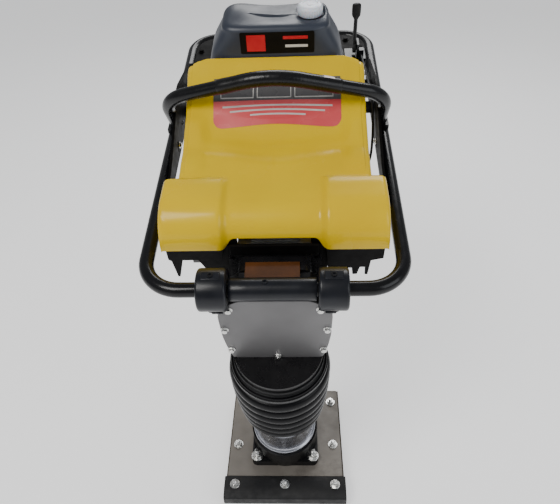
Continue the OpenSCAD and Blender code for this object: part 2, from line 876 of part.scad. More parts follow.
module hoop_sleeve() {
    sleeve_l = 66;
    bore = hoop_r + 0.1;
    color([0.1, 0.1, 0.11]) on_hoop_plane() {
        mirrored() translate([crown_x, crown_s, 0]) rotate([0, 0, -hoop_rise])
            rotate([0, 90, 0]) tube_w(hoop_r + 2.5 - weld_step, bore + 0.1, -weld_lap, sleeve_l);
        translate([0, crown_s - hoop_crown * cos(hoop_rise), 0]) rotate([0, 0, hoop_turn])
            rotate_extrude(angle = 2 * hoop_rise) translate([hoop_crown, 0]) difference() {
                circle(r = hoop_r + 2.5);
                circle(r = bore);
            }
    }
}

module cowl_profile(t) {
    polygon(concat(
        [[nose_v - recess_r + t, skirt_w - 1 - t]],
        [for (p = arc(nose_v, nose_w, recess_r - t, 180, 90, 8)) p],
        [[258, 764 - t], [284, 772 - t], [306, 786 - t], [350, 808 - t], [392, 828 - t],
         [416 - t, 846 - t], [424 - t, 846 - t], [424 - t, skirt_w - 1 - t]]
    ));
}

module cowl_solid(t) {
    intersection() {
        slab_x(cowl_w - 2 * t) cowl_profile(t);
        slab_v(0, 500) polygon([
            [-cowl_w / 2 + t, 600], [-cowl_w / 2 + t, 786 - t], [-148, 808 - t], [-122, 850],
            [122, 850], [148, 808 - t], [cowl_w / 2 - t, 786 - t], [cowl_w / 2 - t, 600]
        ]);
    }
    for (s = [-1, 1]) {
        mid = s * (shoulder_span / 2 + recess_half) / 2;
        half = (shoulder_span / 2 - recess_half) / 2 - t;
        translate([mid, 0, 0]) slab_x(2 * half) polygon(concat(
            [[nose_v - nose_r + 2 + t, skirt_w - 1 - t]],
            [for (p = arc(nose_v, nose_w, nose_r - t, 180, 90, 10)) p],
            [[174 - t, nose_w + nose_r - t], [182 - t, 764 - t], [182 - t, skirt_w - 1 - t]]
        ));
    }
}

module cowl() {
    color("gold") leaned() difference() {
        cowl_solid(0);
        cowl_solid(skin);
        box_v(-300, 300, 0, 500, 500, skirt_w);
        box_v(-76, 76, 0, 90, 500, skirt_w + 18);
        box_v(-110, 110, 400, 500, 500, 800);
    }
}

module cowl_brackets() {
    color([0.07, 0.07, 0.07]) leaned() {
        mirrored() box_v(cowl_w / 2 - 1, rail_x - tube_r + 2, 196, 222, skirt_w - 6, skirt_w);
        // Apron behind the cowl's front edge, with a prong at one side and two tabs at the other
        slab_v(76, 80) polygon([
            [-187, skirt_w + 4], [-187, skirt_w - 32], [-182, skirt_w - 36], [-178, skirt_w - 80],
            [-174, skirt_w - 80], [-162, skirt_w - 34], [-92, skirt_w - 34], [-88, skirt_w - 4],
            [88, skirt_w - 4], [92, skirt_w - 60], [134, skirt_w - 60], [136, skirt_w - 78],
            [144, skirt_w - 78], [148, skirt_w - 58], [157, skirt_w - 58], [158, skirt_w - 79],
            [163, skirt_w - 79], [166, skirt_w - 40], [187, skirt_w - 34], [187, skirt_w + 4]
        ]);
        box_v(-74, 74, 66, 70, skirt_w - 9, skirt_w + 14);
        mirrored() box_v(66, 74, 69, 77, skirt_w - 7, skirt_w + 3);
    }
}

module tank_front() {
    polygon(concat(
        [[-tank_w / 2 + 10, tank_low], [-tank_w / 2, tank_low + 10], [-tank_w / 2 + 3, 776]],
        arc(-68, 884, 30, 160, 95, 6),
        [[-30, 908], [0, 904], [26, 906]],
        arc(70, 884, 30, 85, 20, 6),
        [[tank_w / 2 - 3, 776], [tank_w / 2, tank_low + 10], [tank_w / 2 - 10, tank_low]]
    ));
}

module fuel_tank() {
    back = tank_v + tank_d;
    color([0.22, 0.24, 0.28]) leaned() difference() {
        union() {
            intersection() {
                slab_v(tank_v, back) tank_front();
                slab_x(tank_w + 10) polygon([
                    [tank_v, tank_low - 1], [tank_v, 894], [tank_v + 14, 918],
                    [back - 20, 892], [back, 868], [back, tank_low - 1]
                ]);
            }
            translate([cap_x, cap_v, 878]) cylinder(r = 20, h = 26);
            translate([tap_x, tap_v, tap_w]) cylinder(r = 6, h = 30);
        }
        intersection() {
            slab_v(tank_v + skin, back - skin) polygon([
                [-tank_w / 2 + 6, tank_low + 6], [-tank_w / 2 + 8, 774], [-88, 890],
                [88, 890], [tank_w / 2 - 8, 774], [tank_w / 2 - 6, tank_low + 6]
            ]);
            slab_x(tank_w) polygon([
                [tank_v + 5, tank_low + 6], [tank_v + 5, 888], [back - 24, 884],
                [back - 5, 858], [back - 5, tank_low + 6]
            ]);
        }
        difference() {
            translate([cap_x, cap_v, 902]) cylinder(r = 26, h = 30);
            translate([cap_x, cap_v, 901]) cylinder(r = 20, h = 3);
        }
        translate([cap_x, cap_v, 870]) cylinder(r = 17, h = 50);
    }
}

module filler_cap() {
    color("gainsboro") leaned() translate([cap_x, cap_v, 0]) {
        translate([0, 0, 904.6]) cylinder(r = 24, h = 18);
        translate([0, 0, 890]) cylinder(r = 16.5, h = 16);
    }
}

module fuel_tap() {
    color("goldenrod") leaned() {
        rod_x(4, tap_x + 6.3, tap_x + 14, tap_v, tap_w + 10);
        box_v(tap_x + 10, tap_x + 13, tap_v - 26, tap_v + 5, tap_w + 6, tap_w + 14);
    }
}

module throttle_bracket() {
    color([0.1, 0.1, 0.1]) leaned() {
        box_v(152, rail_x - tube_r - 1, 634, 680, handle_h + 8, handle_h + 12);
        box_v(178, 183, 642, 672, handle_h + 11, lever_w + 14);
        rod_x(6, 177, 181, lever_v, lever_w);
        box_v(183.5, 194, 640, 654, handle_h + 11, handle_h + 29);
    }
}

module throttle_lever() {
    color([0.04, 0.04, 0.04]) leaned() {
        rod_x(12, 169, 176.6, lever_v, lever_w);
        box_v(168.5, 176, lever_v - 3.5, lever_v + 3.5, lever_w, 806);
        translate([172.3, lever_v, 802]) linear_extrude(34) round_rect(17, 9, 4);
    }
}

module throttle_cable() {
    color([0.05, 0.05, 0.05]) leaned() cord(smooth_path(cable_route, 4), 2.5);
}

module fuel_hose() {
    color([0.1, 0.1, 0.1]) leaned() cord(smooth_path(hose_route, 3), 4);
}

sole_plate();
foot_board();
top_plate();
shoe_bolts();
foot_base();
base_studs();
spring_cylinder();
cylinder_collar();
cylinder_cap();
rod_bush();
lower_springs();
upper_springs();
lower_clamp();
piston_rod();
bellows();
upper_clamp();
bellows_flange();
guide_cylinder();
crankcase();
crankcase_cover();
cover_screws();
crank_bearings();
crank_gear();
connecting_rod();
wrist_pin();
pinion_shaft();
clutch_drum();
clutch_shoes();
isolator_drums();
isolator_rubbers();
engine_block();
cylinder_head();
rocker_cover();
spark_plug();
muffler();
muffler_guard();
carburettor();
air_cleaner();
engine_crankshaft();
flywheel();
recoil_housing();
recoil_pulley();
recoil_grip();
choke_lever();
throttle_arm();
stop_switch();
handle_frame();
centre_sleeve();
side_plates();
lifting_hoop();
hoop_sleeve();
cowl();
cowl_brackets();
fuel_tank();
filler_cap();
fuel_tap();
throttle_lever();
throttle_bracket();
throttle_cable();
fuel_hose();
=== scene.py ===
import json
import math
import random

import bmesh
import bpy
from mathutils import Matrix, Vector, noise


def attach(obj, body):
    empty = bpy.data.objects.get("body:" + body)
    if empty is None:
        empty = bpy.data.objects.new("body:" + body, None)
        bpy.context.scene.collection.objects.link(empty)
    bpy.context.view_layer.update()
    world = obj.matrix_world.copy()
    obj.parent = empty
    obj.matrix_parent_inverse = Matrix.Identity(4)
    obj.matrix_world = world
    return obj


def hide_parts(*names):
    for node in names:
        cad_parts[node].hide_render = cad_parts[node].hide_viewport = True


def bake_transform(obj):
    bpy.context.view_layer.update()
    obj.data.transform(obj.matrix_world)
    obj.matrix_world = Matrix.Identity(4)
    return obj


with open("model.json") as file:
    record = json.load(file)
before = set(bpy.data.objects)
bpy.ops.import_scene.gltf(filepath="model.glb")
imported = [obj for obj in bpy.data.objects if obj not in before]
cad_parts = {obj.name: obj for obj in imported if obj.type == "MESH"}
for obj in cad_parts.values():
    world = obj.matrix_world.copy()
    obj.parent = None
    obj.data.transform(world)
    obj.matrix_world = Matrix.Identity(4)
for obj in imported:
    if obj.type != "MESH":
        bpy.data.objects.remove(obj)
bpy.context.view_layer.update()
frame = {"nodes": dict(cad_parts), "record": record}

# Lengths are in millimetres in a frame that leans with the leg: x, then v along the
# crank axis, then w up the leg. LOCAL turns them into metres in the CAD's frame.
LEAN = math.radians(13)
LOCAL = Matrix.Rotation(LEAN, 4, "X") @ Matrix.Scale(0.001, 4)
UPRIGHT = Matrix.Scale(0.001, 4)
TAU = 2 * math.pi
NODE_BODY = {n: b for b, ns in frame["record"]["behaviour"]["bodies"].items() for n in ns}
NODE_SLOT = {s["node"]: s["material_slot"] for s in frame["record"]["subparts"]}
# Ends of the springs and the two faces of the piston, in millimetres up the leg
SPRING_FLOOR, PISTON_LOW, PISTON_HIGH, SPRING_ROOF = 100, 235, 255, 364
# The handle's tube, the height of its rails and the place of its front bar
TUBE_R, RAIL_W, BAR_V = 12.5, 705, -13
# Middles of the drums, the cowl's nose, the filler cap and the lever, and the tank's front
DRUM_X = 95.5
NOSE_V, NOSE_W = 130.0, 710.0
CAP_X, CAP_V = 67, 480
LEVER_X, LEVER_V, LEVER_W = 172.3, 656, 733
TANK_FRONT = 428.0
# Routes of the throttle cable and the fuel hose, as (x, along, up) in the leaning frame
CABLE = [(188, 639, 724), (189, 600, 730), (190, 545, 742), (190, 488, 751), (190, 440, 756),
         (190, 390, 744), (188, 345, 718), (182, 310, 694), (166, 280, 684), (142, 248, 690),
         (118, 218, 708), (90, 182, 727)]
HOSE = [(60, 500, 712), (60, 496, 694), (66, 476, 690), (84, 430, 690), (104, 360, 688),
        (112, 300, 680), (112, 255, 668), (104, 228, 660), (96.3, 209, 658), (96, 200.6, 658)]
random.seed(7)


# ---- materials ----------------------------------------------------------------------

def material(name, base, other, rough, *, scale, bump, metal=0.0, grain=400.0, depth=0.0004,
             coat=0.0, coat_rough=0.1, specular=0.5, stretch=(1, 1, 1), dirt=None,
             dirt_from=0.55, subsurface=0.0):
    """A painted, moulded or metal finish: two colours mixed by noise, uneven gloss and fine bump."""
    m = bpy.data.materials.new(name)
    m.use_nodes = True
    nt = m.node_tree
    nt.nodes.clear()
    out = nt.nodes.new("ShaderNodeOutputMaterial")
    bsdf = nt.nodes.new("ShaderNodeBsdfPrincipled")
    nt.links.new(bsdf.outputs["BSDF"], out.inputs["Surface"])
    bsdf.inputs["Metallic"].default_value = metal
    bsdf.inputs["Coat Weight"].default_value = coat
    bsdf.inputs["Coat Roughness"].default_value = coat_rough
    bsdf.inputs["Specular IOR Level"].default_value = specular
    bsdf.inputs["Subsurface Weight"].default_value = subsurface
    coord = nt.nodes.new("ShaderNodeTexCoord")
    place = nt.nodes.new("ShaderNodeMapping")
    place.inputs["Scale"].default_value = stretch
    nt.links.new(coord.outputs["Object"], place.inputs["Vector"])

    def cloud(size, detail, roughness=0.55):
        n = nt.nodes.new("ShaderNodeTexNoise")
        n.inputs["Scale"].default_value = size
        n.inputs["Detail"].default_value = detail
        n.inputs["Roughness"].default_value = roughness
        nt.links.new(place.outputs["Vector"], n.inputs["Vector"])
        return n

    def ramp(source, low, high, a, b):
        r = nt.nodes.new("ShaderNodeValToRGB")
        r.color_ramp.elements[0].position = low
        r.color_ramp.elements[1].position = high
        r.color_ramp.elements[0].color = a
        r.color_ramp.elements[1].color = b
        nt.links.new(source, r.inputs["Fac"])
        return r

    tone = ramp(cloud(scale, 6).outputs["Fac"], 0.35, 0.68, (*base, 1), (*other, 1))
    colour = tone.outputs["Color"]
    if dirt:
        patch = ramp(cloud(scale * 0.45, 9, 0.68).outputs["Fac"], dirt_from, dirt_from + 0.12,
                     (0, 0, 0, 1), (0.85, 0.85, 0.85, 1))
        mix = nt.nodes.new("ShaderNodeMix")
        mix.data_type = "RGBA"
        nt.links.new(patch.outputs["Color"], mix.inputs["Factor"])
        nt.links.new(colour, mix.inputs["A"])
        mix.inputs["B"].default_value = (*dirt, 1)
        colour = mix.outputs["Result"]
    nt.links.new(colour, bsdf.inputs["Base Color"])
    a, b = rough
    gloss = ramp(cloud(scale * 2.3, 5).outputs["Fac"], 0.3, 0.72, (a, a, a, 1), (b, b, b, 1))
    nt.links.new(gloss.outputs["Color"], bsdf.inputs["Roughness"])
    if bump:
        relief = nt.nodes.new("ShaderNodeBump")
        relief.inputs["Strength"].default_value = bump
        relief.inputs["Distance"].default_value = depth
        nt.links.new(cloud(grain, 4, 0.6).outputs["Fac"], relief.inputs["Height"])
        nt.links.new(relief.outputs["Normal"], bsdf.inputs["Normal"])
    return m


MAT = {
    "sole_steel": material(
        "sole_paint", (0.0065, 0.0065, 0.0075), (0.0150, 0.0148, 0.0150), (0.42, 0.7), scale=24,
        bump=0.55, grain=230, depth=0.0009, specular=0.34, dirt=(0.042, 0.038, 0.034),
        dirt_from=0.62),
    "board": material(
        "board", (0.030, 0.020, 0.013), (0.060, 0.040, 0.026), (0.6, 0.8), stretch=(1, 1, 26),
        scale=14, bump=0.4, grain=90, depth=0.0006),
    "plate_steel": material(
        "plate_primer", (0.150, 0.134, 0.115), (0.205, 0.186, 0.163), (0.38, 0.58), metal=0.15,
        scale=11, bump=0.22, grain=160, depth=0.0004, dirt=(0.090, 0.077, 0.063), dirt_from=0.57),
    "zinc": material(
        "zinc", (0.62, 0.62, 0.60), (0.78, 0.78, 0.76), (0.17, 0.36), metal=1.0, scale=70,
        bump=0.03, grain=300, depth=0.0001, dirt=(0.40, 0.38, 0.34), dirt_from=0.70),
    "cast_black": material(
        "cast_paint", (0.0030, 0.0030, 0.0036), (0.0068, 0.0068, 0.0076), (0.34, 0.5), scale=40,
        bump=0.4, grain=330, depth=0.0005, coat=0.08, coat_rough=0.25, specular=0.22),
    "bright_steel": material(
        "turned_steel", (0.34, 0.35, 0.39), (0.48, 0.49, 0.53), (0.20, 0.32), metal=1.0,
        stretch=(1, 1, 14), scale=30, bump=0.08, grain=140, depth=0.0001),
    "spring_steel": material(
        "spring_steel", (0.20, 0.21, 0.23), (0.32, 0.33, 0.35), (0.25, 0.4), metal=0.9, scale=60,
        bump=0.1),
    "bronze": material(
        "bronze", (0.55, 0.38, 0.16), (0.68, 0.50, 0.24), (0.25, 0.4), metal=1.0, scale=80,
        bump=0.1),
    "bellows_rubber": material(
        "bellows_rubber", (0.0012, 0.0012, 0.0018), (0.0030, 0.0030, 0.0042), (0.24, 0.36),
        specular=0.17, scale=26, bump=0.16, grain=260, depth=0.0003, dirt=(0.007, 0.007, 0.008),
        dirt_from=0.70),
    "bush_rubber": material(
        "bush_rubber", (0.012, 0.012, 0.012), (0.02, 0.02, 0.02), (0.6, 0.75), scale=60, bump=0.2),
    "case_alloy": material(
        "case_paint", (0.0050, 0.0048, 0.0055), (0.0105, 0.0100, 0.0108), (0.22, 0.38),
        specular=0.28, scale=22, bump=0.3, grain=420, depth=0.0004, coat=0.10, coat_rough=0.2,
        dirt=(0.030, 0.028, 0.027), dirt_from=0.66),
    "cover_alloy": material(
        "cover_paint", (0.128, 0.125, 0.127), (0.150, 0.147, 0.149), (0.36, 0.48), metal=0.25,
        scale=9, bump=0.18, grain=700, depth=0.00015, dirt=(0.104, 0.102, 0.102), dirt_from=0.68),
    "gear_steel": material(
        "gear_steel", (0.34, 0.34, 0.36), (0.46, 0.46, 0.47), (0.2, 0.34), metal=1.0, scale=70,
        bump=0.1),
    "lining": material(
        "lining", (0.10, 0.09, 0.08), (0.17, 0.155, 0.14), (0.5, 0.7), metal=0.4, scale=60,
        bump=0.4),
    "frame_black": material(
        "powder_coat", (0.0022, 0.0023, 0.0030), (0.0045, 0.0047, 0.0060), (0.20, 0.32), scale=16,
        bump=0.12, grain=520, depth=0.00018, coat=0.16, coat_rough=0.10, specular=0.24,
        dirt=(0.010, 0.0095, 0.0095), dirt_from=0.70),
    "drum_grey": material(
        "drum_paint", (0.0036, 0.0044, 0.0072), (0.0078, 0.0090, 0.0135), (0.28, 0.42), scale=22,
        bump=0.28, grain=380, depth=0.0004, coat=0.14, coat_rough=0.2, specular=0.28,
        dirt=(0.018, 0.018, 0.021), dirt_from=0.70),
    "engine_alloy": material(
        "engine_alloy", (0.36, 0.36, 0.35), (0.47, 0.47, 0.46), (0.36, 0.52), metal=0.85, scale=30,
        bump=0.5, grain=420, depth=0.0004, dirt=(0.20, 0.19, 0.17), dirt_from=0.62),
    "engine_black": material(
        "engine_black", (0.012, 0.012, 0.012), (0.022, 0.022, 0.022), (0.28, 0.42), scale=24,
        bump=0.25, grain=380, coat=0.3),
    "exhaust_steel": material(
        "exhaust_steel", (0.15, 0.125, 0.105), (0.27, 0.24, 0.21), (0.4, 0.6), metal=0.85, scale=14,
        bump=0.3, grain=200, dirt=(0.10, 0.055, 0.03), dirt_from=0.58),
    "plastic_black": material(
        "plastic_black", (0.011, 0.011, 0.012), (0.019, 0.019, 0.020), (0.38, 0.52), scale=30,
        bump=0.4, grain=620, depth=0.0002),
    "switch_red": material(
        "switch_red", (0.48, 0.016, 0.012), (0.58, 0.028, 0.02), (0.25, 0.36), scale=60, bump=0.08,
        coat=0.3),
    "cowl_yellow": material(
        "cowl_yellow", (0.740, 0.480, 0.0), (0.790, 0.540, 0.0), (0.20, 0.30), scale=6, bump=0.05,
        grain=42, depth=0.0005, coat=0.16, coat_rough=0.06, specular=0.20, dirt=(0.690, 0.430, 0.0),
        dirt_from=0.66),
    "tank_plastic": material(
        "tank_plastic", (0.022, 0.028, 0.044), (0.032, 0.040, 0.058), (0.34, 0.47), scale=10,
        bump=0.22, grain=560, depth=0.00025, dirt=(0.042, 0.050, 0.068), dirt_from=0.66),
    "cap_white": material(
        "cap_white", (0.66, 0.69, 0.76), (0.76, 0.79, 0.84), (0.26, 0.38), scale=40, bump=0.08,
        subsurface=0.15),
    "guard_black": material(
        "guard_black", (0.0016, 0.0014, 0.0014), (0.0036, 0.0032, 0.0032), (0.45, 0.6), scale=30,
        bump=0.25, grain=420, specular=0.07),
    "lever_black": material(
        "lever_black", (0.0045, 0.0045, 0.0045), (0.0085, 0.0085, 0.0085), (0.36, 0.55), scale=50,
        bump=0.2, specular=0.3),
    "hose_rubber": material(
        "sleeve_vinyl", (0.0022, 0.0022, 0.0028), (0.0048, 0.0048, 0.0056), (0.22, 0.38),
        specular=0.26, scale=34, bump=0.35, grain=150, depth=0.0005, coat=0.14, coat_rough=0.2),
}
DECAL_GREY = material("decal_grey", (0.070, 0.068, 0.070), (0.105, 0.100, 0.100), (0.22, 0.34),
                      scale=9, bump=0.04, coat=0.6)
DECAL_RED = material("decal_red", (0.640, 0.050, 0.060), (0.760, 0.150, 0.150), (0.20, 0.34),
                     scale=5, bump=0.04, coat=0.6, dirt=(0.80, 0.30, 0.27), dirt_from=0.55)
DECAL_LINE = material("decal_line", (0.55, 0.53, 0.50), (0.68, 0.66, 0.62), (0.25, 0.36), scale=30,
                      bump=0.04, coat=0.5)
CLAMP_BLACK = material("clamp_black", (0.014, 0.014, 0.015), (0.030, 0.030, 0.031), (0.24, 0.38),
                       metal=0.6, scale=50, bump=0.15, grain=300)
FLOOR = material("floor", (0.88, 0.88, 0.88), (0.90, 0.90, 0.90), (0.6, 0.7), scale=2, bump=0.0)
LABEL_BLACK = material("label_black", (0.0030, 0.0026, 0.0022), (0.0055, 0.0048, 0.0042), (0.40, 0.52),
                       scale=20, bump=0.04, specular=0.12)
LABEL_RED = material("label_red", (0.50, 0.010, 0.020), (0.60, 0.022, 0.030), (0.34, 0.46), scale=30,
                     bump=0.04, specular=0.2)
# Brown that stands in for the yellow cowl reflected in the case's dark top: painted reflection
COWL_REFLECTION_PLATE = material("painted_reflection_plate", (0.115, 0.040, 0.010), (0.060, 0.022, 0.007), (0.14, 0.24),
                      scale=18, bump=0.10, coat=0.35, coat_rough=0.08)
LABEL_PALE = material("label_pale", (0.62, 0.52, 0.52), (0.78, 0.70, 0.70), (0.3, 0.45), scale=60,
                      bump=0.05)


# ---- mesh helpers -------------------------------------------------------------------

def smooth_by_angle(me, degrees):
    """Smooth faces, with a hard edge wherever the mesh turns by more than the angle."""
    limit = math.radians(degrees)
    bm = bmesh.new()
    bm.from_mesh(me)
    for f in bm.faces:
        f.smooth = True
    for e in bm.edges:
        e.smooth = len(e.link_faces) == 2 and e.calc_face_angle(0) < limit
    bm.to_mesh(me)
    bm.free()


def piece(name, bm, body, mat, nodes=(), place=LOCAL, bevel=0.0, segments=2, angle=32, subdiv=0,
          smooth=38, wall=0.0, bends=None):
    """Turns a mesh in millimetres into a finished object that rides on its body, or, when bends
    is given, stays unparented with its transform baked in. mat is a key of MAT or a material,
    and goes into the mesh's one slot."""
    bmesh.ops.remove_doubles(bm, verts=bm.verts, dist=0.01)
    bmesh.ops.recalc_face_normals(bm, faces=bm.faces)
    me = bpy.data.meshes.new(name)
    bm.to_mesh(me)
    bm.free()
    me.transform(place)
    me.update()
    smooth_by_angle(me, smooth)
    o = bpy.data.objects.new(name, me)
    bpy.context.scene.collection.objects.link(o)
    me.materials.append(MAT[mat] if isinstance(mat, str) else mat)
    if wall:
        s = o.modifiers.new("wall", "SOLIDIFY")
        s.thickness = wall / 1000
        s.offset = -1
        s.use_even_offset = False
    if bevel:
        b = o.modifiers.new("edge", "BEVEL")
        b.width = bevel / 1000
        b.segments = segments
        b.limit_method = "ANGLE"
        b.angle_limit = math.radians(angle)
        b.harden_normals = False
        b.use_clamp_overlap = True
    if subdiv:
        s = o.modifiers.new("round", "SUBSURF")
        s.levels = subdiv
        s.render_levels = subdiv
    if bends:
        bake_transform(o)
    else:
        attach(o, body)
    if nodes:
        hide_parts(*nodes)


def rounded(node, width, segments=2, mat=None):
    """The CAD node's own shape with broken edges and a finished surface."""
    bm = bmesh.new()
    bm.from_mesh(frame["nodes"][node].data)
    bmesh.ops.remove_doubles(bm, verts=bm.verts, dist=2e-5)
    bmesh.ops.dissolve_limit(bm, angle_limit=math.radians(1.2), verts=bm.verts, edges=bm.edges,
                             delimit={"NORMAL"})
    bmesh.ops.scale(bm, vec=(1000, 1000, 1000), verts=bm.verts)
    piece("look_" + node, bm, NODE_BODY[node], mat or NODE_SLOT[node], (node,), UPRIGHT,
          bevel=width, segments=segments)


def painted(*nodes):
    """CAD nodes that stay as they are, with their own material."""
    for node in nodes:
        data = frame["nodes"][node].data
        data.materials.clear()
        data.materials.append(MAT[NODE_SLOT[node]])


def ring_grid(bm, rings, closed=True, caps=True):
    """Skins rings of points that all have the same length."""
    rows = [[bm.verts.new(p) for p in ring] for ring in rings]
    n = len(rows[0])
    for a, b in zip(rows, rows[1:]):
        for i in range(n if closed else n - 1):
            j = (i + 1) % n
            bm.faces.new((a[i], a[j], b[j], b[i]))
    if caps:
        bm.faces.new(rows[0])
        bm.faces.new(list(reversed(rows[-1])))
    return rows


def join_ends(bm, rows, shift=0):
    """Skins from the last ring to the first, which may be turned by some corners."""
    first, last = rows[0], rows[-1]
    n = len(first)
    for k in range(n):
        j = (k + 1) % n
        bm.faces.new((last[k], last[j], first[(j + shift) % n], first[(k + shift) % n]))


def lathe(bm, profile, sides, at=(0, 0, 0), axis="w"):
    """Turns (radius, height) points about the w or x axis. A profile that keeps off the axis
    becomes a hollow ring, and one that starts and ends on it becomes a solid."""
    rings = []
    for r, h in profile:
        ring = []
        for k in range(sides):
            a = TAU * k / sides
            c, s = max(r, 0.001) * math.cos(a), max(r, 0.001) * math.sin(a)
            ring.append(Vector((h, c, s) if axis == "x" else (c, s, h)) + Vector(at))
        rings.append(ring)
    hollow = profile[0][0] > 1
    rows = ring_grid(bm, rings, caps=not hollow)
    if hollow:
        join_ends(bm, rows)


def turned(bm, profile, sides, at):
    """Turns (radius, height) points about the z axis of the frame at, as a solid."""
    ring_grid(bm, [[at @ Vector((r * math.cos(TAU * k / sides), r * math.sin(TAU * k / sides), h))
                    for k in range(sides)] for r, h in profile])


def sweep(bm, points, radius, sides, closed=False):
    """A round tube along points, with no twist. radius is a number or a function of 0..1."""
    pts = [Vector(p) for p in points]
    n = len(pts)
    rings = []
    up = None
    for i, p in enumerate(pts):
        a = pts[i - 1] if i or closed else pts[0]
        b = pts[(i + 1) % n] if i < n - 1 or closed else pts[-1]
        t = (b - a).normalized()
        if up is None:
            up = t.orthogonal().normalized()
        up = (up - t * up.dot(t)).normalized()
        side = t.cross(up)
        r = radius(i / max(1, n - 1)) if callable(radius) else radius
        rings.append([p + up * (r * math.cos(TAU * k / sides)) + side * (r * math.sin(TAU * k / sides))
                      for k in range(sides)])
    rows = ring_grid(bm, rings, caps=not closed)
    if closed:
        end, starts = rows[-1][0].co, rows[0]
        join_ends(bm, rows, min(range(sides), key=lambda k: (end - starts[k].co).length))


def spline(points, per):
    """Points on a smooth curve through the given ones, per of them for each span."""
    pts = [Vector(p) for p in points]
    n = len(pts)
    out = []
    for i in range(n - 1):
        a, b, c, d = pts[max(i - 1, 0)], pts[i], pts[i + 1], pts[min(i + 2, n - 1)]
        for j in range(per):
            t = j / per
            out.append(0.5 * (2 * b + (c - a) * t + (2 * a - 5 * b + 4 * c - d) * t * t
                              + (3 * b - a - 3 * c + d) * t ** 3))
    out.append(pts[-1])
    return out


def prism(bm, outline, h0, h1, axis="v"):
    """A slab with an outline of (x, w), (v, w) or (x, v) points across v, x or w."""
    def at(p, h):
        return {"v": (p[0], h, p[1]), "x": (h, p[0], p[1]), "w": (p[0], p[1], h)}[axis]
    low = [bm.verts.new(at(p, h0)) for p in outline]
    high = [bm.verts.new(at(p, h1)) for p in outline]
    n = len(outline)
    bm.faces.new(low)
    bm.faces.new(list(reversed(high)))
    for i in range(n):
        j = (i + 1) % n
        bm.faces.new((low[i], low[j], high[j], high[i]))


def block(bm, x0, x1, v0, v1, w0, w1):
    prism(bm, [(x0, v0), (x1, v0), (x1, v1), (x0, v1)], w0, w1, "w")


def arc(cx, cy, r, a0, a1, n):
    """n + 1 points on an arc between two angles in degrees."""
    return [(cx + r * math.cos(math.radians(a0 + (a1 - a0) * i / n)),
             cy + r * math.sin(math.radians(a0 + (a1 - a0) * i / n))) for i in range(n + 1)]


def step(a, b, t):
    """Rises smoothly from 0 at a to 1 at b. With a over b it falls instead."""
    t = min(1.0, max(0.0, (t - a) / (b - a)))
    return t * t * (3 - 2 * t)


def soften(outline, radius):
    """An outline with each corner rounded by a radius, or by a share of its shorter side."""
    share = 0.35
    soft = []
    n = len(outline)
    for i, p in enumerate(outline):
        p = Vector(p)
        a, b = Vector(outline[i - 1]), Vector(outline[(i + 1) % n])
        r = min(radius, (a - p).length * share, (b - p).length * share)
        pa, pb = p + (a - p).normalized() * r, p + (b - p).normalized() * r
        for t in (0, 0.25, 0.5, 0.75, 1):
            soft.append(tuple(pa * (1 - t) ** 2 + p * 2 * t * (1 - t) + pb * t * t))
    return soft


def hex_head(bm, r, h, frame_at, turn):
    """A hexagon head or nut with chamfered corners, standing up from frame_at's plane."""
    flat = r * 0.866
    levels = [(0.0, 0.965), (0.10, 1.0), (0.80, 1.0), (0.93, 0.96), (1.0, 0.86)]
    rings = []
    for t, k in levels:
        ring = []
        for i in range(48):
            a = TAU * i / 48 + turn
            edge = (a - turn) % (TAU / 6) - TAU / 12
            reach = flat / math.cos(edge)
            if k < 1:
                reach = min(reach, r * k)
            ring.append(frame_at @ Vector((reach * math.cos(a), reach * math.sin(a), h * t)))
        rings.append(ring)
    ring_grid(bm, rings)


def thread(bm, r, h, frame_at):
    """A threaded end with fine ridges and a chamfered tip."""
    pitch = 1.4
    n = max(3, int(h / pitch))
    profile = [(r, 0)]
    for i in range(n):
        z = h * i / n
        profile += [(r * 0.90, z + 0.25 * h / n), (r, z + 0.75 * h / n)]
    turned(bm, profile + [(r * 0.9, h), (r * 0.72, h + 0.8)], 28, frame_at)


def facing(x, v, w, normal):
    """A frame at a point whose z points along normal."""
    return Matrix.Translation((x, v, w)) @ Vector(normal).to_track_quat("Z", "Y").to_matrix().to_4x4()


def bolt(bm, x, v, w, normal, r, h, flange, thread_h=0.0, *, turn):
    """A washer of radius flange and a hexagon of radius r, with a thread or a low dome on top."""
    at = facing(x, v, w, normal)
    thick = 1.6
    turned(bm, [(flange - 0.3, 0), (flange, 0.3), (flange, thick - 0.35), (flange - 0.4, thick)], 40, at)
    up = at @ Matrix.Translation((0, 0, thick))
    hex_head(bm, r, h, up, turn)
    if thread_h:
        thread(bm, r * 0.52, thread_h, up @ Matrix.Translation((0, 0, h)))
    else:
        turned(bm, [(r * 0.5, h - 0.3), (r * 0.46, h + 0.25), (r * 0.2, h + 0.45)], 24, up)


def socket_screw(bm, x, v, w, normal, r):
    """A round screw head with a socket in its face."""
    h = 3.0
    turned(bm, [(r, 0), (r, h - 0.6), (r - 0.6, h), (r * 0.55, h), (r * 0.5, h - 0.3),
                (r * 0.5, h - 2.4)], 24, facing(x, v, w, normal))


# ---- shoe ---------------------------------------------------------------------------

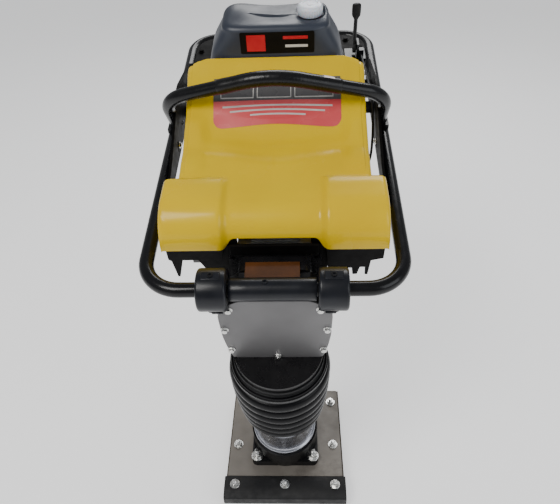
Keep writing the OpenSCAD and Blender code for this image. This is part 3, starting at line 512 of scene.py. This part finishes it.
def shoe():
    """The steel sole with its turned-up toe, the board, the top plate and seven bolts."""
    half, sole, top, curl = 142.5, 8, 50, 26
    toe = arc(-142, curl, curl, 270, 180, 10)
    inner = arc(-142, curl, curl - sole, 180, 270, 10)
    lip = [(-168, 40), (-163, 44), (-142, top), (-116, top), (-116, 44), (-144, 44), (-160, 38)]
    bm = bmesh.new()
    prism(bm, [(138, 0)] + toe + lip + inner + [(138, sole)], -half, half, "x")
    piece("look_sole_plate", bm, "foot", "sole_steel", ("sole_plate",), UPRIGHT, bevel=1.6, segments=3)
    rounded("foot_board", 1.2)
    rounded("top_plate", 1.4, 3)

    bm = bmesh.new()
    toe_row = [(x, -137) for x in (-117, 0, 117)]
    for x, y in toe_row + [(s * 117, y) for s in (-1, 1) for y in (-32, 95)]:
        bolt(bm, x, y, top, (0, 0, 1), 8.6, 7.5, 11.5, 5.0, turn=random.uniform(0, 1))
    piece("look_shoe_bolts", bm, "foot", "zinc", ("shoe_bolts",), UPRIGHT)


def foot_casting():
    """The cast foot and its four studs."""
    rounded("foot_base", 2.2, 3)
    bm = bmesh.new()
    for x in (-67, 67):
        for y in (-74, 46):
            bolt(bm, x, y, 66, (0, 0, 1), 10.5, 10.0, 14.0, 12.0, turn=random.uniform(0, 1))
    piece("look_base_studs", bm, "foot", "zinc", ("base_studs",), UPRIGHT)


# ---- leg ----------------------------------------------------------------------------

def leg():
    """The spring tube, the bright collar with two rims, and the tube that slides round them."""
    rounded("spring_cylinder", 0.8)
    bm = bmesh.new()
    lathe(bm, [(58.1, 101), (67, 101), (67.4, 137.6), (69.4, 138.2), (72, 138.5), (73, 140),
               (73, 147), (72, 148.6), (69.2, 149.3), (67.9, 151), (67.2, 158), (67, 190),
               (67.2, 224), (67.9, 231), (69.2, 232.7), (72, 233.3), (73, 234.8), (73, 239.4),
               (72, 240.8), (69, 241.4), (67.8, 243.5), (67.8, 261), (67, 262), (58.1, 262)], 128)
    piece("look_cylinder_collar", bm, "foot", "bright_steel", ("cylinder_collar",), smooth=50)
    rounded("cylinder_cap", 0.8)
    painted("rod_bush", "piston_rod")
    rounded("guide_cylinder", 0.6)


def bellows():
    """Six ribs that widen upwards, between two plain cuffs."""
    lo, hi = 246.0, 472.0
    outer = [(69.0, lo), (72.6, lo + 1.4), (72.8, lo + 19), (73.6, lo + 23)]
    ribs = 6
    z0, z1 = lo + 26, hi - 21
    pitch = (z1 - z0) / ribs
    crests = [88.5, 92.5, 95.6, 97.9, 99.4, 99.8]
    for i in range(ribs):
        for j in range(16):
            t = j / 16
            crest = crests[i] + (crests[min(i + 1, ribs - 1)] - crests[i]) * t
            bulge = abs(math.sin(math.pi * t)) ** 0.42
            valley = crest - 12.5 if i else 74 + (crest - 12.5 - 74) * min(1, t * 2)
            outer.append((valley + (crest - valley) * bulge, z0 + pitch * (i + t)))
    outer += [(86.5, z1 + 0.4), (89.6, z1 + 2), (92.2, z1 + 4), (92.7, z1 + 6.5), (92.7, hi - 1.6),
              (91.8, hi)]
    inner = [(max(68.8, r - 4.2), h) for r, h in reversed(outer)]
    bm = bmesh.new()
    lathe(bm, outer + inner, 144)
    piece("look_bellows", bm, "foot", "bellows_rubber", ("bellows",), smooth=60,
          bends=("machine", (0, 0, 264), (0, 0, 456)))


def springs():
    """Two nested coils under the piston and two over it, each reaching from its end to the piston."""
    per_turn = 36
    for name, fixed, moving, coils in (
            ("lower_springs", SPRING_FLOOR, PISTON_LOW, ((43, 6, 6), (26, 4, 7))),
            ("upper_springs", SPRING_ROOF, PISTON_HIGH, ((43, 6, 5), (28, 4, 6)))):
        low, high = min(fixed, moving), max(fixed, moving)
        bm = bmesh.new()
        for radius, wire, turns in coils:
            steps = turns * per_turn
            run = high - low - 2 * wire
            coil = []
            for i in range(steps + 1):
                a = TAU * i / per_turn
                coil.append((radius * math.cos(a), radius * math.sin(a), low + wire + run * i / steps))
            sweep(bm, coil, wire, 16)
        piece("look_" + name, bm, "foot", "spring_steel", (name,), smooth=60,
              bends=("spring_carrier", (0, 0, fixed), (0, 0, moving)))


def band_clamp(node, body, r, low, high):
    """A flat band with rolled edges."""
    bm = bmesh.new()
    lathe(bm, [(r - 1.6, low), (r, low), (r + 0.5, low + 0.6), (r + 0.1, low + 1.4),
               (r + 0.1, high - 1.4), (r + 0.5, high - 0.6), (r, high), (r - 1.6, high)], 128)
    piece("look_" + node, bm, body, CLAMP_BLACK, (node,), smooth=40)


# ---- crankcase and crossbar ---------------------------------------------------------

def crankcase():
    """The case, its cover with gasket and screws, a brown plate of painted reflection, and black sheets of
    painted shade either side of the case.
    """
    rounded("crankcase", 2.0, 3)
    cover_front, cover_back = -20, -13.2
    outline = [(-60, 681), (60, 681), (84, 664), (97, 640), (96, 575), (92, 540), (83, 498),
               (-83, 498), (-92, 540), (-96, 575), (-97, 640), (-84, 664)]
    soft = soften(outline, 9.0)
    bm = bmesh.new()
    prism(bm, soft, cover_front, cover_back)
    piece("look_crankcase_cover", bm, "machine", "cover_alloy", ("crankcase_cover",), bevel=1.3,
          segments=3, angle=40)
    bm = bmesh.new()
    grow, middle = 1.002, 590
    prism(bm, [(x * grow, middle + (w - middle) * grow) for x, w in soft], cover_back - 0.1, -12.6)
    piece("cover_gasket", bm, "machine", "bush_rubber")
    bm = bmesh.new()
    for x, w in ((76, 658), (89, 597), (84, 530), (0, 506), (-84, 530), (-89, 597), (-76, 658)):
        bolt(bm, x, cover_front, w, (0, -1, 0), 5.6, 4.6, 7.4, turn=random.uniform(0, 1))
    piece("look_cover_screws", bm, "machine", "zinc", ("cover_screws",))
    # Brown plate on top of the case, behind the crossbar: painted reflection of the yellow cowl in the
    # case's dark top
    bm = bmesh.new()
    block(bm, -49, 43, 15, 54, 689.6, 691)
    piece("painted_reflection_plate", bm, "machine", COWL_REFLECTION_PLATE, bevel=0.5)
    # Black sheets at the front of the engine, either side of the crankcase: painted shade where the engine
    # lies in shadow
    bm = bmesh.new()
    prism(bm, [(-140, 697), (-140, 664), (-128, 636), (-104, 612), (-62, 606), (-62, 697)], 85, 87.5)
    prism(bm, [(62, 697), (62, 632), (88, 632), (96, 644), (96, 697)], 85, 87.5)
    piece("painted_shade_sheet", bm, "machine", MAT["guard_black"], bevel=1.0)


def crossbar():
    """Two cast drums with rubber bushes, and the tube between them."""
    bore, outer, half, fillet = 25.4, 35, 24, 5
    edge = arc(outer - fillet, half - fillet, fillet, 0, 90, 5)
    profile = [(bore, -half), (28, -half)] + [(r, -h) for r, h in reversed(edge)]
    profile += edge + [(28, half), (bore, half)]
    bm = bmesh.new()
    for s in (-1, 1):
        lathe(bm, profile, 96, (s * DRUM_X, BAR_V, RAIL_W), "x")
        # The arm that carries the drum from the case
        prism(bm, [(-34, 668), (-30, 660), (-22, 655), (40, 655), (40, 684), (4, 690), (-4, 676)],
              s * 92 - 9, s * 92 + 9, "x")
    piece("look_isolator_drums", bm, "machine", "drum_grey", ("isolator_drums",), bevel=1.2,
          segments=3, angle=50)
    rounded("isolator_rubbers", 1.0)
    # Clamp pad on top of each drum, and the screws that hold the bushes
    bm = bmesh.new()
    for s in (-1, 1):
        prism(bm, [(s * DRUM_X + x, BAR_V + v) for x, v in ((-15, -7), (15, -7), (15, 9), (-15, 9))],
              736.5, 741.5, "w")
    piece("drum_pads", bm, "machine", "drum_grey", bevel=1.6, segments=3)
    bm = bmesh.new()
    v, w = math.cos(math.radians(228)), math.sin(math.radians(228))
    for s in (-1, 1):
        socket_screw(bm, s * DRUM_X, -12, 740.5, (0, 0, 1), 4.4)
        socket_screw(bm, s * 99, BAR_V + 33.6 * v, RAIL_W + 33.6 * w, (0, v, w), 5.2)
    piece("drum_screws", bm, "machine", "cast_black")
    bm = bmesh.new()
    lathe(bm, [(12.6, -69.4), (18.6, -69.4), (19, -68.6), (19, -40), (19, 0), (19, 40), (19, 68.6),
               (18.6, 69.4), (12.6, 69.4)], 64, (0, BAR_V, RAIL_W), "x")
    piece("look_centre_sleeve", bm, "handle", "drum_grey", ("centre_sleeve",))
    bm = bmesh.new()
    socket_screw(bm, -12, BAR_V, 723.6, (0, 0, 1), 4.2)
    piece("sleeve_screw", bm, "handle", "drum_grey")


# ---- handle -------------------------------------------------------------------------

def handle():
    """The closed loop with its cross members, gussets and side plates."""
    bm = bmesh.new()
    c, x0, v0, v1 = 62.0, 212.5, BAR_V, 762.0
    path = []
    for cx, cv, a in ((x0 - c, v0 + c, -90), (x0 - c, v1 - c, 0), (-x0 + c, v1 - c, 90),
                      (-x0 + c, v0 + c, 180)):
        path += [(p[0], p[1], RAIL_W) for p in arc(cx, cv, c, a, a + 90, 14)]
    path += [(-x0 + c + (x0 - c) * 2 * i / 8, v0, RAIL_W) for i in range(1, 8)]
    sweep(bm, path, TUBE_R, 40, closed=True)
    piece("look_handle_frame", bm, "handle", "frame_black", ("handle_frame",), smooth=60)
    bm = bmesh.new()
    for a, b in ((436, 470), (528, 552)):
        block(bm, -202, 202, a, b, 709, 715)
    for s in (-1, 1):
        block(bm, s * 132, s * 149, 440, 548, 714, 735)
        for v in (453, 540):
            bolt(bm, s * 168, v, 715, (0, 0, 1), 5.6, 4.2, 7.6, turn=0.4)
        corner = [(s * x, v) for x, v in [(202, 600), (158, 606), (142, 628), (142, 751.5)]
                  + arc(150.5, 700, 51.5, 90, 0, 10)]
        prism(bm, corner, 708, 713, "w")
        for x, v in ((158, 726), (190, 690)):
            bolt(bm, s * x, v, 713, (0, 0, 1), 5.6, 4.2, 7.6, turn=0.7)
    piece("tank_supports", bm, "handle", MAT["guard_black"], bevel=1.0)
    bm = bmesh.new()
    for s in (-1, 1):
        prism(bm, [(s * x, w) for x, w in ((62, 699), (94, 699), (94, 724), (62, 724))], 80, 82)
    piece("apron_ends", bm, "handle", MAT["guard_black"])
    rounded("side_plates", 0.9, 3, mat=MAT["guard_black"])
    bm = bmesh.new()
    for s in (-1, 1):
        for v, w in ((214, 717), (330, 720), (470, 735), (556, 728)):
            bolt(bm, s * 193.6, v, w, (-s, 0, 0), 5.0, 3.4, 6.8, turn=0.2)
    piece("side_plate_bolts", bm, "handle", "zinc")


def on_hoop(x, s):
    """A point in the plane of the lifting hoop, which stands on the rails and leans forward."""
    lean = math.radians(90 + 28)
    return Vector((x, 396 + s * math.cos(lean), RAIL_W + TUBE_R + 1 + s * math.sin(lean)))


def hoop():
    """The lifting bar: upright legs, a bend, a slope and a flat arc at the crown."""
    leg_x, leg_s, bend, rise, crown = 206.5, 68.0, 62.0, math.radians(20), 150.0
    turn = math.pi / 2 - rise
    right = [(leg_x, 0), (leg_x, 30), (leg_x, 60)]
    right += [(leg_x - bend + bend * math.cos(turn * i / 12), leg_s + bend * math.sin(turn * i / 12))
              for i in range(13)]
    sx, ss = right[-1]
    cx = crown * math.sin(rise)
    cs = ss + (sx - cx) / math.cos(rise) * math.sin(rise)
    top = cs - crown * math.cos(rise)
    slope = [(sx + (cx - sx) * t, ss + (cs - ss) * t) for t in (0.25, 0.5, 0.75)]
    arc_half = [(crown * math.sin(rise * (1 - i / 8)), top + crown * math.cos(rise * (1 - i / 8)))
                for i in range(9)]
    half = right + slope + arc_half
    full = half + [(-x, s) for x, s in reversed(half[:-1])]
    bm = bmesh.new()
    sweep(bm, [on_hoop(x, s) for x, s in full], TUBE_R, 40)
    for s in (-1, 1):
        prism(bm, [(s * x, v) for x, v in ((198, 374), (223, 374), (223, 418), (198, 418))],
              714.5, 724.5, "w")
        # Weld bead round the foot of each leg
        ring = [(s * leg_x + 13.1 * math.cos(TAU * k / 40), 395.4 + 14.1 * math.sin(TAU * k / 40),
                 725.2 + 0.5 * math.sin(k * 2.4)) for k in range(40)]
        sweep(bm, ring, 2.2, 8, closed=True)
    piece("look_lifting_hoop", bm, "handle", "frame_black", ("lifting_hoop",), smooth=50)

    # The sleeve over the crown, longer on the right, with soft ends and slight wrinkles
    line = spline([on_hoop(x, s) for x, s in full], 3)
    mid = [p for p in line if -104 < p.x < 126]
    mid.sort(key=lambda p: p.x)
    fine = spline(mid, 4)

    def swell(t):
        end = min(t, 1 - t)
        edge = 0.5 + 0.7 * min(1.0, end / 0.012) ** 0.5
        wave = 0.2 * noise.noise(Vector((t * 26, 0, 0))) + 0.12 * math.sin(t * 90) * step(0.1, 0, end)
        return TUBE_R + edge + wave

    bm = bmesh.new()
    sweep(bm, fine, swell, 48)
    piece("look_hoop_sleeve", bm, "handle", "hose_rubber", ("hoop_sleeve",), smooth=60)
    # Plain pale sticker near the sleeve's right end
    bm = bmesh.new()
    label = [p for p in fine if 84 < p.x < 108]
    rows = []
    for p, q in zip(label, label[1:]):
        t = (q - p).normalized()
        side = Vector((0, 0.55, 0.85)).cross(t).normalized()
        up = t.cross(side).normalized()
        rows.append([p + 14.2 * (math.cos(a) * up + math.sin(a) * side)
                     for a in [math.radians(-42 + 84 * k / 10) for k in range(11)]])
    ring_grid(bm, rows, closed=False, caps=False)
    piece("sleeve_sticker", bm, "handle", LABEL_PALE, smooth=60, wall=0.4)


# ---- cowl ---------------------------------------------------------------------------

def cowl_top(x, v):
    """Height of the cowl's outside at a point behind the nose."""
    ax = abs(x)
    # Foot of the ridge bows forward in the middle
    foot = 250 + 16 * step(0, 120, ax)
    dish = 764 + 8 * step(150, foot, v)
    dish -= 3.0 * step(foot - 40, foot - 6, v) * step(foot + 4, foot - 20, v)
    rise = [(foot, 0), (foot + 34, 10), (foot + 56, 24), (350, 44), (392, 64), (416, 80), (424, 84)]
    up = 0.0
    for (a, ha), (b, hb) in zip(rise, rise[1:]):
        if v >= a:
            t = min(1.0, (v - a) / (b - a))
            if a == foot:
                t = t * t
            up = ha + (hb - ha) * t
    w = dish + up * 0.93
    # Raised rails at both sides of the dish, which swell into pads beside the ridge
    rail = step(116, 140, ax) * step(184, 214, v) * step(340, 300, v)
    w += 5.0 * rail
    w += 8.0 * math.exp(-((ax - 146) / 22) ** 2 - ((v - 284) / 26) ** 2)
    # Soft edges of the decal panel
    w -= 3.0 * step(128, 142, ax) * step(306, 340, v)
    # The sides and the rear corners fall away
    fall = 870 if ax < 138 else 852 - (ax - 138) * 0.62
    k = 5.0
    w = min(w, fall) - k * math.exp(-abs(w - fall) / k) * 0.35
    # Centre crease
    crease = math.exp(-((x + 4 + 1.6 * math.sin(v / 17)) / 2.4) ** 2)
    w -= 0.9 * crease * step(150, 170, v) * step(262, 240, v)
    return w


def cowl():
    """A moulded skin of rings from the left skirt over the top to the right skirt."""
    inner = [0, 4, 8, 14, 22, 30, 38, 46, 54, 62, 68, 73, 77, 80, 82.5, 85, 87.5, 90, 93, 97, 102, 108,
             114, 120, 126, 131, 136, 141, 146, 150, 154, 158]
    xs = [-x for x in reversed(inner[1:])] + inner
    skirt_w = 704.0
    # Stations: the nose as an arc, then the top
    nose = [180 - 90 * i / 16 for i in range(17)]
    tops = [138, 146, 154, 161, 167, 171, 174, 176.5, 178.5, 180, 181.3, 182.4, 183.6, 185, 187, 190, 195,
            201, 208, 216, 224, 232, 239, 245, 250, 255, 260, 265, 270, 276, 282, 288, 294, 300, 306,
            312, 320, 328, 338, 348, 358, 368, 378, 387, 394, 400, 405, 410, 414, 417, 420, 422.4, 424]

    def shoulder(x):
        return step(76, 92, abs(x))

    def half_width(v):
        return 169 + 23 * (1 - step(178.5, 183.2, v))

    def section(kind, t):
        """One ring, at an angle of the nose or at a place v along the top."""
        ring = []
        for x in xs:
            s = shoulder(x)
            if kind == "nose":
                r = 52 + 10 * s
                # The middle stops higher than the shoulders
                a = math.radians(90 + (t - 90) * (1 - 0.155 * (1 - step(72, 84, abs(x)))))
                v = NOSE_V + r * math.cos(a)
                w = NOSE_W + r * math.sin(a)
            else:
                v = t
                low = cowl_top(x, v) if v > 150 else 762 + (cowl_top(x, 150) - 762) * step(130, 150, v)
                high = 772 - 1.0 * step(160, 174, v)
                w = low + max(0.0, high - low) * s * (1 - step(174, 184, v))
            ring.append(Vector((x, v, w)))
        half = 192 if kind == "nose" else half_width(t)
        left, right = [], []
        r = 10.0
        run = half - inner[-1] - r
        if run <= 1:
            run = 0.6
        for side, corner, out in ((-1, ring[0], left), (1, ring[-1], right)):
            v, w = corner.y, corner.z
            drop = 0.0 if kind == "nose" or t < 200 else 3.0
            for f in (0.35, 0.7, 1.0):
                out.append(Vector((side * (inner[-1] + run * f), v, w - drop * f)))
            top_w = w - drop
            for i in range(1, 7):
                a = math.pi / 2 * i / 6
                out.append(Vector((side * (half - r + r * math.sin(a)), v, top_w - r + r * math.cos(a))))
            # The side wall, down to the skirt unless the ring is already lower
            high_w, low_w = top_w - r, min(skirt_w, top_w - r)
            for f in (0.25, 0.5, 0.75, 1.0):
                out.append(Vector((side * half, v, high_w * (1 - f) + low_w * f)))
        return list(reversed(left)) + ring + right

    rings = [section("nose", a) for a in nose] + [section("top", v) for v in tops]
    # Front skirt below the nose, lower on the shoulders than in the middle
    skirt = []
    for f in (1.0, 0.75, 0.5, 0.25):
        ring = []
        for p in rings[0]:
            low = min(p.z, skirt_w + 18 * (1 - step(70, 84, abs(p.x))))
            ring.append(Vector((p.x, p.y, p.z * (1 - f) + low * f)))
        skirt.append(ring)
    rings = skirt + rings
    bm = bmesh.new()
    ring_grid(bm, rings, closed=False, caps=False)
    bmesh.ops.remove_doubles(bm, verts=bm.verts, dist=0.05)
    bmesh.ops.smooth_vert(bm, verts=[v for v in bm.verts if not v.is_boundary], factor=0.35,
                          use_axis_x=True, use_axis_y=True, use_axis_z=True)
    piece("look_cowl", bm, "handle", "cowl_yellow", ("cowl",), smooth=55, wall=3.6, subdiv=1)


def surface(name, x0, x1, v0, v1, mat, lift, corner=0.0):
    """A thin film that follows the cowl, with rounded front corners."""
    nx, nv = 44, 30
    bm = bmesh.new()
    rows = []
    for j in range(nv + 1):
        v = v0 + (v1 - v0) * j / nv
        inset = 0.0
        if corner and v < v0 + corner:
            inset = corner - math.sqrt(max(0.0, corner ** 2 - (v0 + corner - v) ** 2))
        a, b = x0 + inset, x1 - inset
        across = [a + (b - a) * i / nx for i in range(nx + 1)]
        rows.append([(x, v, cowl_top(x, v) + lift) for x in across])
    ring_grid(bm, rows, closed=False, caps=False)
    piece(name, bm, "handle", mat, smooth=60, wall=0.35)


def decals():
    """The cowl's plain label: a red part, a grey part with three boxes, and pale strips."""
    surface("cowl_label_red", -115, 122, 298, 343, DECAL_RED, 0.75, corner=16)
    surface("cowl_label_grey", -115, 122, 343.2, 386, DECAL_GREY, 0.75)
    for i, (a, b, v) in enumerate(((-98, 106, 333), (-84, 92, 324.5), (-46, 56, 316))):
        surface(f"cowl_label_strip{i}", a, b, v - 1.5, v + 1.5, DECAL_LINE, 0.95)
    for i, (a, b) in enumerate(((-102, -40), (-34, 30), (36, 108))):
        for j, v in enumerate((347, 380)):
            surface(f"cowl_label_box{i}_{j}", a, b, v, v + 2, DECAL_LINE, 0.95)
        for j, x in enumerate((a, b - 1.6)):
            surface(f"cowl_label_edge{i}_{j}", x, x + 1.6, 347, 382, DECAL_LINE, 0.95)


# ---- tank ---------------------------------------------------------------------------

def tank():
    """A blow-moulded tank: rounded sections that draw in towards two humps."""
    sides = 96
    v_back = 556.0

    def section(w, shrink=0.0):
        # Half width, front and back at a height
        t = (w - 735) / 180
        low, high = (min(1.0, max(0.0, f)) for f in ((w - 768) / 80, (w - 848) / 46))
        half = 145.5 - 2.5 * min(1.0, (w - 735) / 33) - 18 * low - 24 * high - shrink
        front = TANK_FRONT + shrink
        back = v_back - 2 - 26 * step(0.45, 1.0, t) - shrink
        cx, cv = 2.0 * step(0.5, 1, t), (front + back) / 2
        hv = (back - front) / 2
        n = 7.0 - 2.2 * step(0.6, 1, t)
        ring = []
        for k in range(sides):
            a = TAU * (k + 0.5) / sides
            c, s = math.cos(a), math.sin(a)
            m = (abs(c) ** n + abs(s) ** n) ** (-1 / n)
            ring.append(Vector((cx + half * m * c, cv + hv * m * s, w)))
        return ring

    rings = [section(735.2, shrink=8), section(735.6, shrink=4), section(738, shrink=1.2),
             section(742)]
    rings += [section(w) for w in (752, 766, 782, 798, 812, 826, 840, 852, 862, 872, 882, 890, 895, 898)]
    for shrink in (0.5, 1.4, 2.8, 4.6, 7, 10, 13, 16, 19, 22, 25, 28, 31, 34, 37, 40, 43, 46, 48.5,
                   49.8):
        ring = []
        for p in section(898, shrink=shrink):
            hump = math.exp(-((p.x + 74) / 33) ** 2) + math.exp(-((p.x - 90) / 40) ** 2)
            dip = math.exp(-((p.x - 6) / 42) ** 2)
            rear = step(436, 492, p.y) * (1 - math.exp(-shrink / 9))
            h = 898 + 8 * (1 - math.exp(-shrink / 3.6)) + (8 * hump - 6 * dip) * rear
            h -= 0.05 * max(0, p.y - 500)
            # Flat seat round the filler neck
            gap = math.hypot(p.x - CAP_X, p.y - CAP_V)
            h = h + (min(h, 902.4) - h) * (1 - step(25.5, 31, gap))
            ring.append(Vector((p.x, p.y, h)))
        rings.append(ring)
    bm = bmesh.new()
    ring_grid(bm, rings)
    piece("look_fuel_tank", bm, "handle", "tank_plastic", ("fuel_tank",), smooth=60, subdiv=1)

    # Filler neck
    bm = bmesh.new()
    lathe(bm, [(20, 880), (20, 902.6), (19.2, 903.8), (17, 904), (17, 880)], 64, (CAP_X, CAP_V, 0))
    piece("tank_neck", bm, "handle", "tank_plastic")
    # Seam round the moulding
    bm = bmesh.new()
    sweep(bm, section(800, shrink=-0.15), 0.9, 8, closed=True)
    piece("tank_seam", bm, "handle", "tank_plastic", smooth=70)

    # Plain front label with a red square and two bars
    def panel(name, x0, x1, w0, w1, mat, out, r):
        bm = bmesh.new()
        outline = []
        for a, x, w in ((0, x1 - r, w1 - r), (90, x0 + r, w1 - r), (180, x0 + r, w0 + r),
                        (270, x1 - r, w0 + r)):
            outline += arc(x, w, r, a, a + 90, 5)
        prism(bm, outline, TANK_FRONT - out, TANK_FRONT + 2)
        piece(name, bm, "handle", mat)

    panel("tank_label", -64, 74, 855, 897, LABEL_BLACK, 0.4, 3)
    panel("tank_label_square", -52, -17, 860, 892, LABEL_RED, 0.8, 1)
    panel("tank_label_bar", 16, 62, 883, 889, LABEL_RED, 0.8, 0.8)
    panel("tank_label_line", 20, 62, 867, 872, DECAL_LINE, 0.8, 0.8)


def cap():
    """The filler cap, with thirty ribs round its rim."""
    bm = bmesh.new()
    sides = 120
    rings = []
    for r, h, k in ((15, 891, 0), (16.3, 892, 0), (16.3, 904, 0), (22.4, 904.7, 0), (23.3, 906, 1),
                    (23.3, 917, 1), (22.8, 919.6, 0.7), (21.4, 921.6, 0.2), (19, 922.4, 0), (15, 922.6, 0),
                    (14.4, 921.8, 0), (6, 921.7, 0), (5.4, 922.4, 0), (0.01, 922.5, 0)):
        ring = []
        for i in range(sides):
            a = TAU * i / sides
            q = r + 0.65 * k * math.cos(30 * a)
            ring.append((CAP_X + q * math.cos(a), CAP_V + q * math.sin(a), h))
        rings.append(ring)
    ring_grid(bm, rings)
    piece("look_filler_cap", bm, "cap", "cap_white", ("filler_cap",), smooth=45)


# ---- throttle -----------------------------------------------------------------------

def throttle():
    """The lever's hub and stalk, and the flat paddle at its end."""
    bm = bmesh.new()
    lathe(bm, [(0.01, -3.8), (11.2, -3.8), (12, -3), (12, 3), (11.2, 3.8), (0.01, 3.8)], 48,
          (LEVER_X + 0.5, LEVER_V, LEVER_W), "x")
    path = spline([(LEVER_X, LEVER_V + v, w) for v, w in ((0, LEVER_W), (0.7, 762), (-0.2, 786),
                                                         (-1, 812))], 8)
    sweep(bm, path, lambda t: 4.7 - 0.5 * t, 24)
    piece("look_throttle_lever", bm, "throttle", "lever_black", ("throttle_lever",), smooth=50)
    bm = bmesh.new()
    rings = []
    for hw, hv, w in ((3.6, 3.0, 799), (4.6, 3.6, 801), (7.2, 4.2, 806), (9.4, 4.6, 810), (9.9, 4.7, 819),
                      (9.9, 4.7, 829), (9.2, 4.4, 833.6), (6.2, 3.0, 835.8)):
        rings.append([(LEVER_X + hw * math.copysign(abs(math.cos(a)) ** 0.6, math.cos(a)),
                       LEVER_V - 0.2 + hv * math.copysign(abs(math.sin(a)) ** 0.6, math.sin(a)), w)
                      for a in [TAU * i / 40 for i in range(40)]])
    ring_grid(bm, rings)
    piece("throttle_knob", bm, "throttle", "lever_black", smooth=50)
    rounded("throttle_bracket", 0.8)


def plain():
    """Parts whose CAD shape is right: broken edges and their own finish."""
    for node, width in {
        "bellows_flange": 1.2, "engine_block": 1.6, "cylinder_head": 0.5,
        "rocker_cover": 2.4, "spark_plug": 0.8, "muffler": 1.8, "muffler_guard": 0.5, "carburettor": 0.9,
        "air_cleaner": 2.2, "recoil_housing": 1.6, "recoil_grip": 3.0, "stop_switch": 1.6,
        "fuel_tap": 0.5, "flywheel": 0.8, "clutch_drum": 0.6, "clutch_shoes": 0.5, "recoil_pulley": 0.6,
        "choke_lever": 0.3, "throttle_arm": 0.3, "engine_crankshaft": 0.5,
    }.items():
        rounded(node, width)
    rounded("cowl_brackets", 0.8, mat=MAT["guard_black"])
    painted("crank_bearings", "crank_gear", "connecting_rod", "wrist_pin", "pinion_shaft")


def lines():
    """Throttle cable and fuel hose, from the handle side down to the engine."""
    for node, route, radius, sides, mat in (("throttle_cable", CABLE, 2.5, 24, "plastic_black"),
                                            ("fuel_hose", HOSE, 4.0, 28, "hose_rubber")):
        bm = bmesh.new()
        sweep(bm, spline(route, 10), radius, sides)
        piece("look_" + node, bm, "handle", mat, (node,), smooth=60,
              bends=("machine", route[0], route[-1]))


# ---- stage --------------------------------------------------------------------------

def stage():
    """A wide pale floor that glows a little, a soft sky and three lamps."""
    bm = bmesh.new()
    bmesh.ops.create_grid(bm, x_segments=2, y_segments=2, size=9)
    me = bpy.data.meshes.new("floor")
    bm.to_mesh(me)
    bm.free()
    floor = bpy.data.objects.new("floor", me)
    bpy.context.scene.collection.objects.link(floor)
    glow = FLOOR.node_tree.nodes["Principled BSDF"]
    glow.inputs["Emission Color"].default_value = (1, 1, 1, 1)
    glow.inputs["Emission Strength"].default_value = 0.55
    me.materials.append(FLOOR)
    world = bpy.data.worlds.new("studio")
    bpy.context.scene.world = world
    world.use_nodes = True
    world.node_tree.nodes["Background"].inputs["Color"].default_value = (0.95, 0.97, 1.0, 1)
    world.node_tree.nodes["Background"].inputs["Strength"].default_value = 0.34

    def area(name, place, aim, size, power, colour=(1, 1, 1)):
        data = bpy.data.lights.new(name, "AREA")
        data.shape = "RECTANGLE"
        data.size, data.size_y = size
        data.energy = power
        data.color = colour
        o = bpy.data.objects.new(name, data)
        bpy.context.scene.collection.objects.link(o)
        o.location = place
        o.rotation_mode = "QUATERNION"
        o.rotation_quaternion = (Vector(aim) - Vector(place)).to_track_quat("-Z", "Y")

    area("key", (-1.2, -1.5, 2.8), (0, 0.1, 0.6), (1.2, 1.2), 48, (1.0, 0.985, 0.96))
    area("fill", (1.9, -1.4, 1.7), (0, 0, 0.5), (1.5, 1.5), 16, (0.93, 0.96, 1.0))
    area("back", (0.4, 2.2, 2.6), (0, 0.1, 0.7), (2.0, 0.9), 40)


def camera():
    """The photo's camera, looking down from the front."""
    yaw, pitch, roll = math.radians(-2.94), math.radians(37.13), math.radians(-2.45)
    ahead = Vector((math.sin(yaw) * math.cos(pitch), math.cos(yaw) * math.cos(pitch), -math.sin(pitch)))
    right = Vector((math.cos(yaw), -math.sin(yaw), 0))
    up = right.cross(ahead)
    r = right * math.cos(roll) + up * math.sin(roll)
    u = up * math.cos(roll) - right * math.sin(roll)
    data = bpy.data.cameras.new("camera")
    data.lens = 34.81
    data.sensor_width = 36
    o = bpy.data.objects.new("camera", data)
    bpy.context.scene.collection.objects.link(o)
    m = Matrix((r, u, -ahead)).transposed().to_4x4()
    m.translation = (0.0469, -0.8174, 1.2476)
    o.matrix_world = m
    bpy.context.scene.camera = o


shoe()
foot_casting()
leg()
bellows()
springs()
band_clamp("lower_clamp", "foot", 74.6, 250, 260)
band_clamp("upper_clamp", "machine", 94.4, 458, 468)
crankcase()
crossbar()
handle()
hoop()
cowl()
decals()
tank()
cap()
throttle()
plain()
lines()
stage()
camera()
